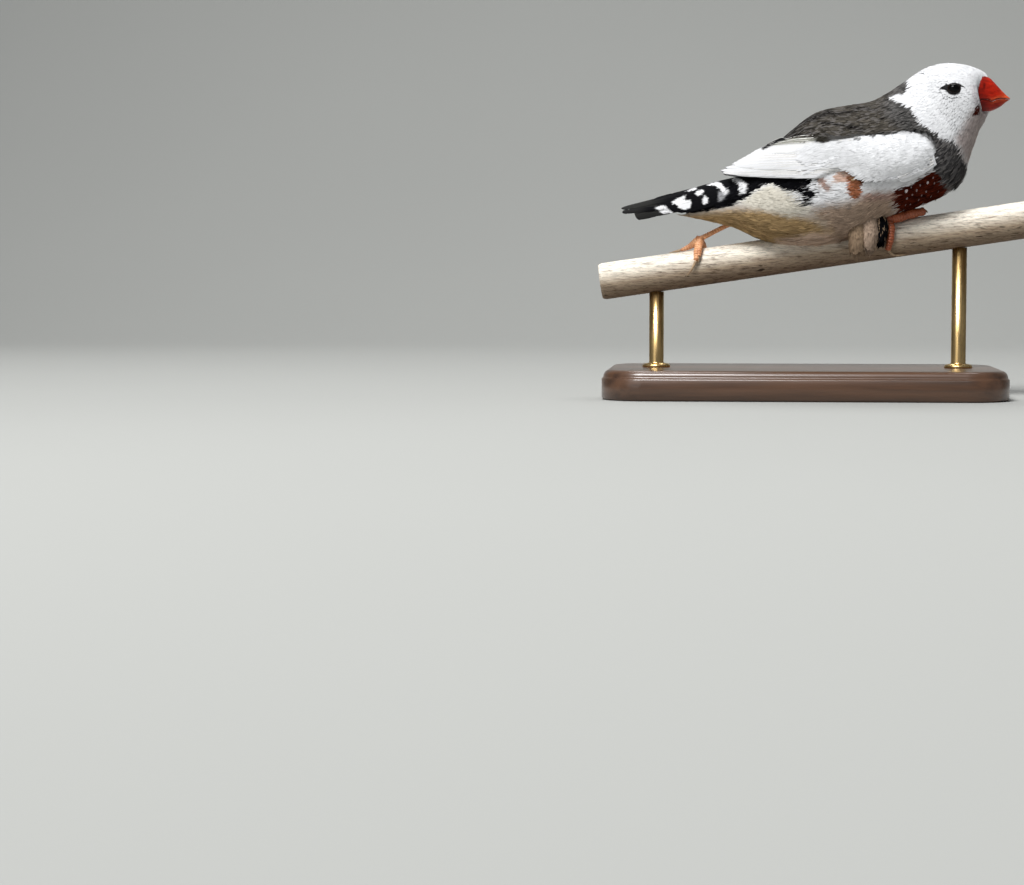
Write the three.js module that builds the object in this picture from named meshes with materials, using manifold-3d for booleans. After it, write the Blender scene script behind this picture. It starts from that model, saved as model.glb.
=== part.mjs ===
// A life-size zebra finch, a pied male, crouched lengthwise on a short round perch that two rods hold above a flat base.
// Millimetres, +Z up. The bird faces +X and its right side faces -Y.
// Every piece is made in one frame, whose origin lies below the bird's body on the level of the perch's axis,
// and the whole is lifted until the base stands on the ground.

import * as THREE from 'three';
import { mergeVertices } from 'three/addons/utils/BufferGeometryUtils.js';
import Module from 'manifold-3d';

const wasm = await Module();
wasm.setup();

// Driving dimensions of the perch and its stand
const PERCH_RADIUS = 5;
const PERCH_LENGTH = 120;
const PERCH_SLOPE = THREE.MathUtils.degToRad(8.3);
const PERCH_HEIGHT = 40;
const PERCH_SIDE = 2;
const BASE = { length: 108, depth: 60, height: 8, corner: 12, bevel: 1.2, middle: -4 };
const ROD_RADIUS = 2;
const RODS = { front: 38, rear: -44 };

// Clear space between touching pieces
const GAP = 0.3;

// Cross-sections of the trunk from the vent to the bill: the profile's upper and lower point as [x, z], and half the width
const TRUNK = [
  { top: [-35.0, 10.6], bottom: [-35.6, 9.0], half: 1.6 },
  { top: [-29.5, 14.0], bottom: [-29.5, 7.4], half: 4.4 },
  { top: [-23.0, 18.6], bottom: [-22.5, 5.3], half: 7.2 },
  { top: [-17.0, 24.0], bottom: [-16.5, 2.7], half: 9.9 },
  { top: [-9.0, 30.3], bottom: [-9.0, 1.3], half: 12.3 },
  { top: [0.0, 36.2], bottom: [-0.5, 1.0], half: 13.7 },
  { top: [8.0, 38.4], bottom: [8.5, 2.8], half: 14.0 },
  { top: [13.5, 39.9], bottom: [17.5, 8.1], half: 13.4 },
  { top: [18.0, 42.1], bottom: [26.7, 11.8], half: 12.1 },
  { top: [21.8, 44.6], bottom: [34.6, 15.4], half: 10.7 },
  { top: [25.0, 46.8], bottom: [38.8, 21.2], half: 9.5 },
  { top: [28.3, 48.8], bottom: [40.9, 27.0], half: 8.8 },
  { top: [33.0, 50.4], bottom: [42.6, 32.0], half: 8.6 },
  { top: [38.3, 50.2], bottom: [43.8, 35.2], half: 7.9 },
  { top: [42.4, 48.6], bottom: [43.5, 36.6], half: 6.0 },
  { top: [43.9, 46.9], bottom: [42.9, 37.0], half: 4.2 },
];
const LAST = TRUNK.length - 1;
const NECK_START = 9 / LAST;
const NECK_END = 10.7 / LAST;
const ROUNDNESS = 2.15;
const TRUNK_SIDES = 24;

// The bed that a folded wing lies on, a little outside the trunk and drawn out to the wing's tip
const WING_BED = [
  { top: [-28.5, 20.8], bottom: [-28.5, 11.0], half: 4.2 },
  { top: [-22.0, 23.9], bottom: [-22.0, 8.0], half: 7.6 },
  { top: [-16.0, 27.3], bottom: [-16.0, 4.0], half: 10.6 },
  { top: [-9.0, 30.9], bottom: [-9.0, 2.0], half: 12.9 },
  { top: [0.0, 36.5], bottom: [-0.5, 1.0], half: 14.1 },
  { top: [8.0, 38.7], bottom: [8.5, 2.8], half: 14.4 },
  { top: [13.7, 40.2], bottom: [17.7, 8.0], half: 13.8 },
  { top: [18.2, 42.4], bottom: [27.0, 11.5], half: 12.5 },
  { top: [22.0, 45.0], bottom: [35.0, 15.0], half: 11.1 },
  { top: [25.2, 47.2], bottom: [39.2, 20.8], half: 9.9 },
];

// The arch that the tail's feathers lie on: its ridge, a point as far below its edges as the ridge is above, and half its width
const TAIL_BED = [
  { top: [-54.0, 11.7], bottom: [-54.0, 6.0], half: 4.2 },
  { top: [-45.0, 14.1], bottom: [-45.0, 3.0], half: 4.7 },
  { top: [-36.0, 16.2], bottom: [-36.0, 1.6], half: 4.8 },
  { top: [-28.0, 17.8], bottom: [-28.0, 4.4], half: 4.6 },
  { top: [-18.0, 20.0], bottom: [-18.0, 9.0], half: 4.6 },
];

const EYE = { x: 35.2, z: 42.8, radius: 2.6, opening: 1.9, lid: 0.4 };

const COLOURS = {
  white: 0xf2f2f0,
  mantle: 0x5a5652,
  wing: 0xf4f4f2,
  black: 0x17161a,
  eye: 0x0c0a0a,
  bill: 0xc8301c,
  leg: 0xd0622e,
  perch: 0xb9a58b,
  base: 0x3a2a20,
  rod: 0xb08d4a,
};

// Builds a closed surface through rings of points. A ring of one point is a pole, and an open end is closed by a fan.
// Where slantBack(j) is true, the quads after point j are split along their other diagonal.
function loft(rings, slantBack = () => false) {
  const points = rings.flat();
  const starts = [];
  let count = 0;
  for (const ring of rings) {
    starts.push(count);
    count += ring.length;
  }
  const faces = [];
  for (let i = 0; i + 1 < rings.length; i++) {
    const sides = Math.max(rings[i].length, rings[i + 1].length);
    for (let j = 0; j < sides; j++) {
      const k = (j + 1) % sides;
      const a = starts[i] + (rings[i].length === 1 ? 0 : j);
      const b = starts[i] + (rings[i].length === 1 ? 0 : k);
      const c = starts[i + 1] + (rings[i + 1].length === 1 ? 0 : j);
      const d = starts[i + 1] + (rings[i + 1].length === 1 ? 0 : k);
      if (a === b) faces.push([a, d, c]);
      else if (c === d) faces.push([a, b, c]);
      else if (slantBack(j)) faces.push([a, b, c], [b, d, c]);
      else faces.push([a, b, d], [a, d, c]);
    }
  }
  const closeEnd = (i, turned) => {
    if (rings[i].length === 1) return;
    const centre = points.length;
    const middle = new THREE.Vector3();
    for (const p of rings[i]) middle.addScaledVector(p, 1 / rings[i].length);
    points.push(middle);
    rings[i].forEach((_, j) => {
      const a = starts[i] + j;
      const b = starts[i] + ((j + 1) % rings[i].length);
      faces.push(turned ? [centre, b, a] : [centre, a, b]);
    });
  };
  closeEnd(0, true);
  closeEnd(rings.length - 1, false);
  const volume = faces.reduce(
    (sum, [a, b, c]) => sum + points[a].dot(new THREE.Vector3().crossVectors(points[b], points[c])), 0);
  const index = faces.flatMap(([a, b, c]) => (volume < 0 ? [a, c, b] : [a, b, c]));
  return new THREE.BufferGeometry().setFromPoints(points).setIndex(index);
}

// A closed geometry as a solid for joining and cutting
function solidOf(geometry) {
  const bare = geometry.clone();
  bare.deleteAttribute('normal');
  bare.deleteAttribute('uv');
  const merged = mergeVertices(bare, 1e-4);
  return new wasm.Manifold(new wasm.Mesh({
    numProp: 3,
    vertProperties: new Float32Array(merged.attributes.position.array),
    triVerts: new Uint32Array(merged.index.array),
  }));
}

// The solid's largest closed surface as a geometry
function geometryOf(solid) {
  const pieces = solid.decompose().sort((a, b) => b.volume() - a.volume());
  const mesh = pieces[0].getMesh();
  return new THREE.BufferGeometry()
    .setAttribute('position', new THREE.BufferAttribute(mesh.vertProperties, 3))
    .setIndex(new THREE.BufferAttribute(mesh.triVerts, 1));
}

const join = (solids) => solids.reduce((all, one) => all.add(one));

// A copy of a solid for the other side of the bird
const mirror = (solid) => solid.mirror([0, 1, 0]);

// A smooth line through points given as [x, z], which passes point i at i / (count - 1)
function profileLine(pairs) {
  return new THREE.CatmullRomCurve3(pairs.map(([x, z]) => new THREE.Vector3(x, 0, z)), false, 'catmullrom', 0.5);
}

// A body swept through cross-sections: at(t) gives the section's centre, its upward half and half its width
function bodyOf(sections) {
  const top = profileLine(sections.map((s) => s.top));
  const bottom = profileLine(sections.map((s) => s.bottom));
  const width = profileLine(sections.map((s, i) => [i, s.half]));
  return {
    at(t) {
      const high = top.getPoint(t);
      const low = bottom.getPoint(t);
      return {
        centre: high.clone().add(low).multiplyScalar(0.5),
        up: high.clone().sub(low).multiplyScalar(0.5),
        half: width.getPoint(t).z,
      };
    },
  };
}

const rounded = (value, roundness) => Math.sign(value) * Math.abs(value) ** (2 / roundness);

// A point on the body's right side at angle a from its side (0) over its top (a quarter turn), grown outwards by some millimetres
function bodyPoint(body, t, a, grow = 0) {
  const { centre, up, half } = body.at(t);
  const rise = rounded(Math.sin(a), ROUNDNESS);
  const out = rounded(Math.cos(a), ROUNDNESS);
  const length = up.length();
  return centre.clone()
    .addScaledVector(up, (rise * (length + grow)) / length)
    .add(new THREE.Vector3(0, -out * (half + grow), 0));
}

function bodySolid(body, from, to, steps, grow = 0) {
  const rings = [];
  for (let i = 0; i <= steps; i++) {
    const t = THREE.MathUtils.lerp(from, to, i / steps);
    rings.push(Array.from({ length: TRUNK_SIDES }, (_, j) =>
      bodyPoint(body, t, (2 * Math.PI * j) / TRUNK_SIDES, grow)));
  }
  return solidOf(loft(rings));
}

// A round tube along a curve, with its radius given along it
function tube(curve, radiusAt, steps, sides) {
  const { normals, binormals } = curve.computeFrenetFrames(steps, false);
  const rings = [];
  for (let i = 0; i <= steps; i++) {
    const centre = curve.getPointAt(i / steps);
    const radius = radiusAt(i / steps);
    rings.push(Array.from({ length: sides }, (_, j) => {
      const a = (2 * Math.PI * j) / sides;
      return centre.clone()
        .addScaledVector(normals[i], radius * Math.cos(a))
        .addScaledVector(binormals[i], radius * Math.sin(a));
    }));
  }
  return solidOf(loft(rings));
}

const route = (points) => new THREE.CatmullRomCurve3(points.map((p) => new THREE.Vector3(...p)), false, 'centripetal');

const trunk = bodyOf(TRUNK);

// A bed for feathers over a swept body. point(t, a, height) lies above it, and site(x, z) finds the t and a that a side view
// shows at x, z. beside() goes from a site over the surface, upwards and square to the way along, by some millimetres.
function bedOf(sections) {
  const body = bodyOf(sections);
  const point = (t, a, height = 0) => bodyPoint(body, t, a, height);
  const site = (x, z) => {
    let low = 0;
    let high = 1;
    let rise = 0;
    for (let i = 0; i < 24; i++) {
      const t = (low + high) / 2;
      const { centre, up } = body.at(t);
      rise = (z - centre.z) / up.z;
      if (centre.x + rise * up.x < x) low = t;
      else high = t;
    }
    const level = THREE.MathUtils.clamp(rise, -1, 1);
    return { t: low, a: Math.asin(rounded(level, 4 / ROUNDNESS)) };
  };
  const beside = ({ t, a }, along, distance) => {
    const step = 1e-3;
    const here = point(t, a);
    const lengthwise = point(t + step, a).sub(here).divideScalar(step);
    const upward = point(t, a + step).sub(here).divideScalar(step);
    const across = new THREE.Vector3().crossVectors(lengthwise, upward).cross(along).normalize();
    if (across.dot(upward) < 0) across.negate();
    const [ll, lu, uu] = [lengthwise.dot(lengthwise), lengthwise.dot(upward), upward.dot(upward)];
    const [al, au] = [across.dot(lengthwise) * distance, across.dot(upward) * distance];
    const determinant = ll * uu - lu * lu;
    return { t: t + (al * uu - au * lu) / determinant, a: a + (au * ll - al * lu) / determinant };
  };
  return { point, site, beside };
}

// One feather's vane on a bed, with four points round each station. The shaft lies nearer the lower edge.
// That edge lies over the next feather, so it stands out by half the tilt, and the upper edge is sunk as much.
const VANE = {
  thickness: 0.5,
  shaft: 0.4,
  stations: [0, 0.36, 0.7, 0.92],
  widths: [0.6, 0.95, 1, 0.72],
};

function vane(bed, { root, tip, width, height, tilt, bend = 0 }) {
  const from = new THREE.Vector2(...root);
  const to = new THREE.Vector2(...tip);
  const control = from.clone().lerp(to, 0.5).add(new THREE.Vector2(0, 2 * bend));
  const line = new THREE.QuadraticBezierCurve(from, control, to);
  const siteAt = (u) => bed.site(...line.getPoint(u).toArray());
  const over = (u, shift, lift) => {
    const [before, after] = [siteAt(u - 0.02), siteAt(u + 0.02)];
    const along = bed.point(after.t, after.a).sub(bed.point(before.t, before.a));
    const site = bed.beside(siteAt(u), along, shift);
    return bed.point(site.t, site.a, THREE.MathUtils.lerp(height[0], height[1], u) + lift);
  };
  const rings = VANE.stations.map((u, i) => {
    const upper = width * VANE.widths[i] * (1 - VANE.shaft);
    const lower = width * VANE.widths[i] * -VANE.shaft;
    const slant = (tilt * VANE.widths[i]) / 2;
    const deep = VANE.thickness * (1 - 0.3 * u);
    return [over(u, upper, -slant), over(u, lower, slant), over(u, lower, slant - deep), over(u, upper, -slant - deep)];
  });
  return solidOf(loft([...rings, [over(1, 0, -VANE.thickness / 3)]], (j) => j === 2));
}

// Lays a tier of feathers between its lowest and its highest one
function tier(bed, { count, root, tips, width, height, tilt, bend = 0 }) {
  const tipLine = profileLine(tips);
  return Array.from({ length: count }, (_, i) => {
    const s = i / (count - 1);
    const tip = tipLine.getPoint(s);
    return vane(bed, {
      root: [THREE.MathUtils.lerp(root[0][0], root[1][0], s), THREE.MathUtils.lerp(root[0][1], root[1][1], s)],
      tip: [tip.x, tip.z],
      width: THREE.MathUtils.lerp(width[0], width[1], s),
      bend: bend * (1 - s),
      height, tilt,
    });
  });
}

// The point of the trunk's right side that is seen at x, z from the side, and the surface's outward direction there
function trunkSide(x, z) {
  const { t, a } = bedOf(TRUNK).site(x, z);
  const step = 1e-3;
  const along = bodyPoint(trunk, t + step, a).sub(bodyPoint(trunk, t - step, a));
  const around = bodyPoint(trunk, t, a + step).sub(bodyPoint(trunk, t, a - step));
  const normal = new THREE.Vector3().crossVectors(along, around).normalize();
  if (normal.y > 0) normal.negate();
  return { point: bodyPoint(trunk, t, a), normal };
}

// Perch
function perchGeometry(grow = 0) {
  const sides = 32;
  return new THREE.CylinderGeometry(PERCH_RADIUS + grow, PERCH_RADIUS + grow, PERCH_LENGTH, sides).rotateZ(Math.PI / 2);
}

const perchSpace = solidOf(perchGeometry(GAP).rotateY(-PERCH_SLOPE).translate(0, PERCH_SIDE, 0));

// A point over the perch: along its axis, turned in degrees from its top towards the near side, and height above its surface
function onPerch(along, turn, height) {
  const a = THREE.MathUtils.degToRad(turn);
  const reach = PERCH_RADIUS + height;
  return new THREE.Vector3(along, -Math.sin(a) * reach, Math.cos(a) * reach)
    .applyAxisAngle(new THREE.Vector3(0, 1, 0), -PERCH_SLOPE)
    .add(new THREE.Vector3(0, PERCH_SIDE, 0));
}

// Feet: each toe is a route over the perch from the foot's joint to its claw, and each claw goes on from there to its tip
const TOE_RADIUS = 0.85;
const CLAW_RADIUS = 0.5;
const JOINT_RADIUS = 1.35;
const FEET = {
  right: {
    joint: [20.4, 24, 1.8],
    toes: [
      { toe: [[23.4, 14, 1.5], [26.4, 9, 1.6], [29.0, 7, 1.25]], claw: [[31.0, 5, 1.2], [32.4, 4, 0.4]] },
      { toe: [[22.6, -4, 1.35], [24.6, -26, 1.25], [25.8, -46, 1.2]], claw: [[27.2, -66, 1.1], [27.8, -84, 0.4]] },
      { toe: [[20.2, 50, 1.4], [18.6, 82, 1.2], [17.4, 112, 1.15]], claw: [[18.4, 138, 1.05], [21.4, 158, 0.4]] },
      { toe: [[17.0, 4, 1.5], [13.8, -14, 1.25]], claw: [[11.6, -34, 1.2], [10.4, -56, 0.4]] },
    ],
  },
  left: {
    joint: [-32.2, 6, 1.9],
    toes: [
      { toe: [[-31.4, -26, 1.4], [-30.4, -62, 1.2], [-30.0, -98, 1.15]], claw: [[-30.6, -128, 1.1], [-31.6, -150, 0.4]] },
      { toe: [[-31.5, 34, 1.4], [-31.0, 62, 1.2]], claw: [[-31.2, 86, 1.1], [-32.2, 106, 0.4]] },
      { toe: [[-32.8, 32, 1.4], [-33.4, 66, 1.15]], claw: [[-34.6, 88, 1.05], [-36.6, 106, 0.4]] },
      { toe: [[-35.0, 6, 1.6], [-37.4, 6, 1.25]], claw: [[-39.4, 4, 1.15], [-41.4, 2, 0.35]] },
    ],
  },
};

// One foot with its four toes and claws, grown outwards by some millimetres
function footSolid({ joint, toes }, grow = 0) {
  const padding = 0.1;
  const toeRadius = (u) => TOE_RADIUS * (1.12 - 0.3 * u + padding * Math.cos(6 * Math.PI * u)) + grow;
  const clawRadius = (u) => CLAW_RADIUS * (1 - 0.88 * u) + grow;
  const place = (points) => route(points.map((p) => onPerch(...p).toArray()));
  const pieces = toes.flatMap(({ toe, claw }) => [
    tube(place([joint, ...toe]), toeRadius, 7, 6),
    tube(place([toe.at(-1), ...claw]), clawRadius, 3, 5),
  ]);
  const knuckle = new THREE.SphereGeometry(JOINT_RADIUS + grow, 8, 6).translate(...onPerch(...joint).toArray());
  return join([...pieces, solidOf(knuckle)]);
}

// Legs: the feathered thigh, with its radii from end to end, and the bare shank down to the foot's joint
const THIGHS = {
  right: { line: [[10.0, -6.0, 13.0], [10.8, -8.0, 7.0], [11.9, -7.8, 2.0], [12.2, -7.2, -1.2]], radii: [4.6, 4.3, 3.3, 1.3] },
  left: { line: [[-10.0, 5.0, 11.0], [-17.0, 4.6, 7.8], [-23.4, 3.8, 6.2]], radii: [4.4, 3.2, 1.4] },
};
const SHANKS = {
  right: [[11.8, -6.6, 1.0], [15.8, -5.0, 4.8]],
  left: [[-17.5, 4.4, 9.6], [-25.0, 3.2, 6.2]],
};
const SHANK_RADIUS = 0.85;

function thighSolid({ line, radii }, grow = 0) {
  const radius = profileLine(radii.map((r, i) => [i, r]));
  return tube(route(line), (u) => radius.getPoint(u).z + grow, 8, 12);
}

function shankSolid(points, { joint }) {
  const line = route([...points, onPerch(...joint).toArray()]);
  return tube(line, (u) => SHANK_RADIUS * (1.25 - 0.8 * u * (1 - u)), 8, 8);
}

// Bill: cross-sections from its base to its tip, then parted along the line of the mouth
const BILL = [
  { top: [44.25, 46.9], bottom: [43.25, 36.9], half: 4.2 },
  { top: [45.9, 46.1], bottom: [45.0, 37.2], half: 3.85 },
  { top: [47.5, 44.6], bottom: [47.0, 38.0], half: 3.1 },
  { top: [49.1, 42.9], bottom: [48.8, 39.1], half: 2.1 },
  { top: [50.4, 41.6], bottom: [50.4, 40.1], half: 1.1 },
  { top: [51.3, 40.8], bottom: [51.3, 40.5], half: 0.25 },
];
const MOUTH_LINE = [[41.2, 39.3], [43.4, 41.1], [44.6, 41.2], [46.2, 40.6], [48.2, 41.2], [50.0, 40.9], [52.5, 40.2]];
const NOSTRIL = { x: 44.6, y: 3.5, z: 44.7, radius: 0.55 };

// The thin cut along the mouth, wider than the bill
function mouthCut() {
  const line = new THREE.SplineCurve(MOUTH_LINE.map(([x, z]) => new THREE.Vector2(x, z)));
  const points = line.getPoints(18);
  const upper = points.map((p) => new THREE.Vector2(p.x, p.y + GAP / 2));
  const lower = points.map((p) => new THREE.Vector2(p.x, p.y - GAP / 2)).reverse();
  const width = 24;
  const slab = new THREE.ExtrudeGeometry(new THREE.Shape([...upper, ...lower]), { depth: width, bevelEnabled: false });
  return solidOf(slab.rotateX(Math.PI / 2).translate(0, width / 2, 0));
}

function billSolids() {
  const bill = bodySolid(bodyOf(BILL), 0, 1, 10);
  const nostrils = [-1, 1].map((side) => {
    const pit = new THREE.SphereGeometry(NOSTRIL.radius, 6, 4).scale(1.3, 1, 0.8);
    return solidOf(pit.translate(NOSTRIL.x, side * NOSTRIL.y, NOSTRIL.z));
  });
  const parts = bill.subtract(mouthCut()).subtract(join(nostrils)).decompose();
  const height = (part) => part.boundingBox().min[2] + part.boundingBox().max[2];
  parts.sort((a, b) => b.volume() - a.volume());
  return parts.slice(0, 2).sort((a, b) => height(b) - height(a));
}

// Eyes: a ball in a socket, with a raised ring of lids round the opening
const eyeSite = trunkSide(EYE.x, EYE.z);
const eyeDepth = Math.sqrt(EYE.radius ** 2 - EYE.opening ** 2);
const eyeStandsOut = 0.25;
const eyeCentre = eyeSite.point.clone().addScaledVector(eyeSite.normal, eyeStandsOut - eyeDepth);

function eyeSolid(grow = 0) {
  return solidOf(new THREE.SphereGeometry(EYE.radius + grow, 14, 10).translate(...eyeCentre.toArray()));
}

function lidSolid() {
  const ring = new THREE.TorusGeometry(EYE.opening + EYE.lid, EYE.lid, 6, 16);
  ring.applyQuaternion(new THREE.Quaternion().setFromUnitVectors(new THREE.Vector3(0, 0, 1), eyeSite.normal));
  return solidOf(ring.translate(...eyeSite.point.toArray()));
}

// Wings, as seen from the side: the arm that every feather is rooted in, between its lower and its upper edge,
// and the tiers from the lowest feather to the highest
const wingBed = bedOf(WING_BED);
const ARM = {
  lower: [[30.2, 25.6], [28.6, 22.6], [22.5, 20.9], [14.5, 20.6], [8.0, 22.5], [2.0, 25.2]],
  upper: [[30.4, 26.8], [28.0, 30.2], [21.5, 32.0], [14.0, 31.6], [7.0, 29.8], [1.0, 27.2]],
  thickness: 2.0,
  sunk: 0.6,
};
const TIERS = {
  primaries: {
    count: 5, root: [[21, 21.4], [13, 24.0]],
    tips: [[-22.4, 20.3], [-26.3, 20.9], [-24.6, 22.2], [-21.8, 23.8], [-18.8, 25.4]],
    width: [3.0, 4.4], height: [0.3, 0.2], tilt: 1.0, bend: -0.7,
  },
  secondaries: {
    count: 4, root: [[20, 23.6], [12, 27.4]], tips: [[-8.0, 22.0], [-11.4, 23.8], [-13.8, 25.6], [-14.8, 27.2]],
    width: [3.6, 4.0], height: [0.6, 0.9], tilt: 1.2, bend: -0.3,
  },
  tertials: {
    count: 3, root: [[13, 27.4], [10, 30.2]], tips: [[-13.2, 28.4], [-9.0, 29.6], [-3.4, 30.6]],
    width: [4.4, 4.6], height: [0.9, 1.2], tilt: 1.2, bend: -0.2,
  },
  alula: {
    count: 3, root: [[28.2, 23.4], [27.4, 25.0]], tips: [[14.6, 19.4], [17.0, 20.6], [19.6, 22.2]],
    width: [2.6, 2.8], height: [0.9, 1.8], tilt: 0.9, bend: -0.3,
  },
  greaterCoverts: {
    count: 6, root: [[23, 23.0], [14, 29.8]],
    tips: [[9.2, 20.9], [6.8, 22.9], [4.2, 24.8], [1.8, 26.6], [-0.4, 28.2], [-2.0, 29.6]],
    width: [3.4, 3.6], height: [1.2, 2.0], tilt: 1.0, bend: -0.2,
  },
  medianCoverts: {
    count: 5, root: [[27, 24.6], [18, 31.2]], tips: [[17.2, 22.6], [14.6, 24.6], [12.2, 26.6], [10.0, 28.5], [8.0, 30.2]],
    width: [3.6, 3.8], height: [1.4, 2.5], tilt: 0.9, bend: -0.2,
  },
};

function armSolid() {
  const steps = 9;
  const across = 5;
  const low = profileLine(ARM.lower);
  const high = profileLine(ARM.upper);
  const rings = [];
  for (let i = 0; i <= steps; i++) {
    const u = i / steps;
    const a = low.getPoint(u);
    const b = high.getPoint(u);
    const over = [];
    const under = [];
    for (let j = 0; j <= across; j++) {
      const s = j / across;
      const { t, a: angle } = wingBed.site(THREE.MathUtils.lerp(a.x, b.x, s), THREE.MathUtils.lerp(a.z, b.z, s));
      const swell = Math.sin(Math.PI * (0.08 + 0.84 * s)) ** 0.6 * Math.sin(Math.PI * (0.12 + 0.8 * u)) ** 0.5;
      over.push(wingBed.point(t, angle, ARM.thickness * swell));
      under.unshift(wingBed.point(t, angle, -ARM.sunk));
    }
    rings.push([...over, ...under]);
  }
  return solidOf(loft(rings, (j) => j > across));
}

function wingSolid() {
  return join([armSolid(), ...Object.values(TIERS).flatMap((each) => tier(wingBed, each))]);
}

// Tail: pairs of feathers on the arch from the ridge down, joined at the root, with the long coverts over their bases
const tailBed = bedOf(TAIL_BED);
const TAIL_FEATHERS = {
  count: 5, root: [[-19, 15.4], [-19, 19.6]], tips: [[-49.2, 9.3], [-50.6, 9.8], [-51.7, 10.4], [-52.5, 11.1], [-53.0, 11.7]],
  width: [3.0, 3.8], height: [-0.5, -0.2], tilt: 1.1,
};
const TAIL_COVERTS = {
  count: 4, root: [[-17.5, 16.0], [-17.5, 19.8]], tips: [[-36.5, 10.6], [-40.0, 12.0], [-42.5, 13.3], [-44.5, 14.2]],
  width: [3.2, 3.6], height: [0.2, 0.3], tilt: 1.1,
};

// The left half lies a little lower, so that of each pair the right feather covers the left one's inner edge
function tailSolid() {
  const right = join([...tier(tailBed, TAIL_FEATHERS), ...tier(tailBed, TAIL_COVERTS)]);
  const core = bodySolid(bodyOf(TAIL_BED), 0.74, 1, 4, -0.9);
  return join([core, right, mirror(right).translate(0.35, 0, -0.14)]);
}

// Stand: a bevelled base and two upright rods under the perch
function baseGeometry() {
  const { length, depth, height, corner, bevel, middle } = BASE;
  const x = length / 2 - bevel;
  const y = depth / 2 - bevel;
  const shape = new THREE.Shape();
  shape.absarc(x - corner, y - corner, corner, 0, Math.PI / 2);
  shape.absarc(-x + corner, y - corner, corner, Math.PI / 2, Math.PI);
  shape.absarc(-x + corner, -y + corner, corner, Math.PI, 1.5 * Math.PI);
  shape.absarc(x - corner, -y + corner, corner, 1.5 * Math.PI, 2 * Math.PI);
  return new THREE.ExtrudeGeometry(shape, {
    depth: height - 2 * bevel, bevelThickness: bevel, bevelSize: bevel, bevelSegments: 2, curveSegments: 5,
  }).translate(middle, PERCH_SIDE, bevel - PERCH_HEIGHT);
}

function rodSolid(x) {
  const foot = BASE.height + GAP - PERCH_HEIGHT;
  const head = x * Math.tan(PERCH_SLOPE);
  const rod = new THREE.CylinderGeometry(ROD_RADIUS, ROD_RADIUS, head - foot, 20).rotateX(Math.PI / 2);
  return solidOf(rod.translate(x, PERCH_SIDE, (head + foot) / 2)).subtract(perchSpace);
}

// Assembly
const model = new THREE.Group();
model.position.set(0, -PERCH_SIDE, PERCH_HEIGHT);

function add(name, geometry, color, roughness = 0.8, metalness = 0) {
  const mesh = new THREE.Mesh(geometry, new THREE.MeshStandardMaterial({ color, roughness, metalness }));
  mesh.name = name;
  model.add(mesh);
  return mesh;
}

const halfGap = GAP / 5 / LAST;
const trunkSpace = bodySolid(trunk, 0, 1, 40, GAP + 0.05);
const nearHalf = solidOf(new THREE.BoxGeometry(120, 40, 120).translate(0, -20 - GAP / 2, 0));

const torso = bodySolid(trunk, 0, NECK_START - halfGap, 20).subtract(perchSpace).subtract(footSolid(FEET.right, GAP));
add('torso', geometryOf(torso), COLOURS.mantle);
add('neck', geometryOf(bodySolid(trunk, NECK_START + halfGap, NECK_END - halfGap, 6)), COLOURS.white);

const sockets = join([eyeSolid(GAP), mirror(eyeSolid(GAP))]);
const head = bodySolid(trunk, NECK_END + halfGap, 1, 11)
  .add(lidSolid()).add(mirror(lidSolid())).subtract(sockets).subtract(mouthCut());
add('head', geometryOf(head), COLOURS.white);
add('eye_right', geometryOf(eyeSolid()), COLOURS.eye, 0.1);
add('eye_left', geometryOf(mirror(eyeSolid())), COLOURS.eye, 0.1);

const [billUpper, billLower] = billSolids();
add('bill_upper', geometryOf(billUpper), COLOURS.bill, 0.35);
add('bill_lower', geometryOf(billLower), COLOURS.bill, 0.35);

const tail = tailSolid().subtract(trunkSpace);
add('tail', geometryOf(tail), COLOURS.black);

const wing = wingSolid().subtract(trunkSpace).intersect(nearHalf);
add('wing_right', geometryOf(wing), COLOURS.wing);
add('wing_left', geometryOf(mirror(wing)), COLOURS.wing);

for (const side of ['right', 'left']) {
  const footSpace = footSolid(FEET[side], GAP);
  const thigh = thighSolid(THIGHS[side]).subtract(trunkSpace).subtract(perchSpace).subtract(footSpace);
  add(`thigh_${side}`, geometryOf(thigh), COLOURS.white);
  const shank = shankSolid(SHANKS[side], FEET[side])
    .subtract(trunkSpace).subtract(thighSolid(THIGHS[side], GAP)).subtract(footSpace).subtract(perchSpace);
  add(`shank_${side}`, geometryOf(shank), COLOURS.leg, 0.5);
  add(`foot_${side}`, geometryOf(footSolid(FEET[side])), COLOURS.leg, 0.5);
}

const perch = add('perch', perchGeometry(), COLOURS.perch);
perch.position.y = PERCH_SIDE;
perch.rotation.y = -PERCH_SLOPE;
add('stand_base', baseGeometry(), COLOURS.base, 0.45);
add('stand_rod_front', geometryOf(rodSolid(RODS.front)), COLOURS.rod, 0.3, 1);
add('stand_rod_rear', geometryOf(rodSolid(RODS.rear)), COLOURS.rod, 0.3, 1);

export default model;
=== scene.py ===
"""A life-size museum model of a zebra finch, a pied male, crouched on a sloping perch over a wooden base."""

import math
from collections import namedtuple

import bpy
import numpy as np
from mathutils import Matrix, Vector


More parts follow.
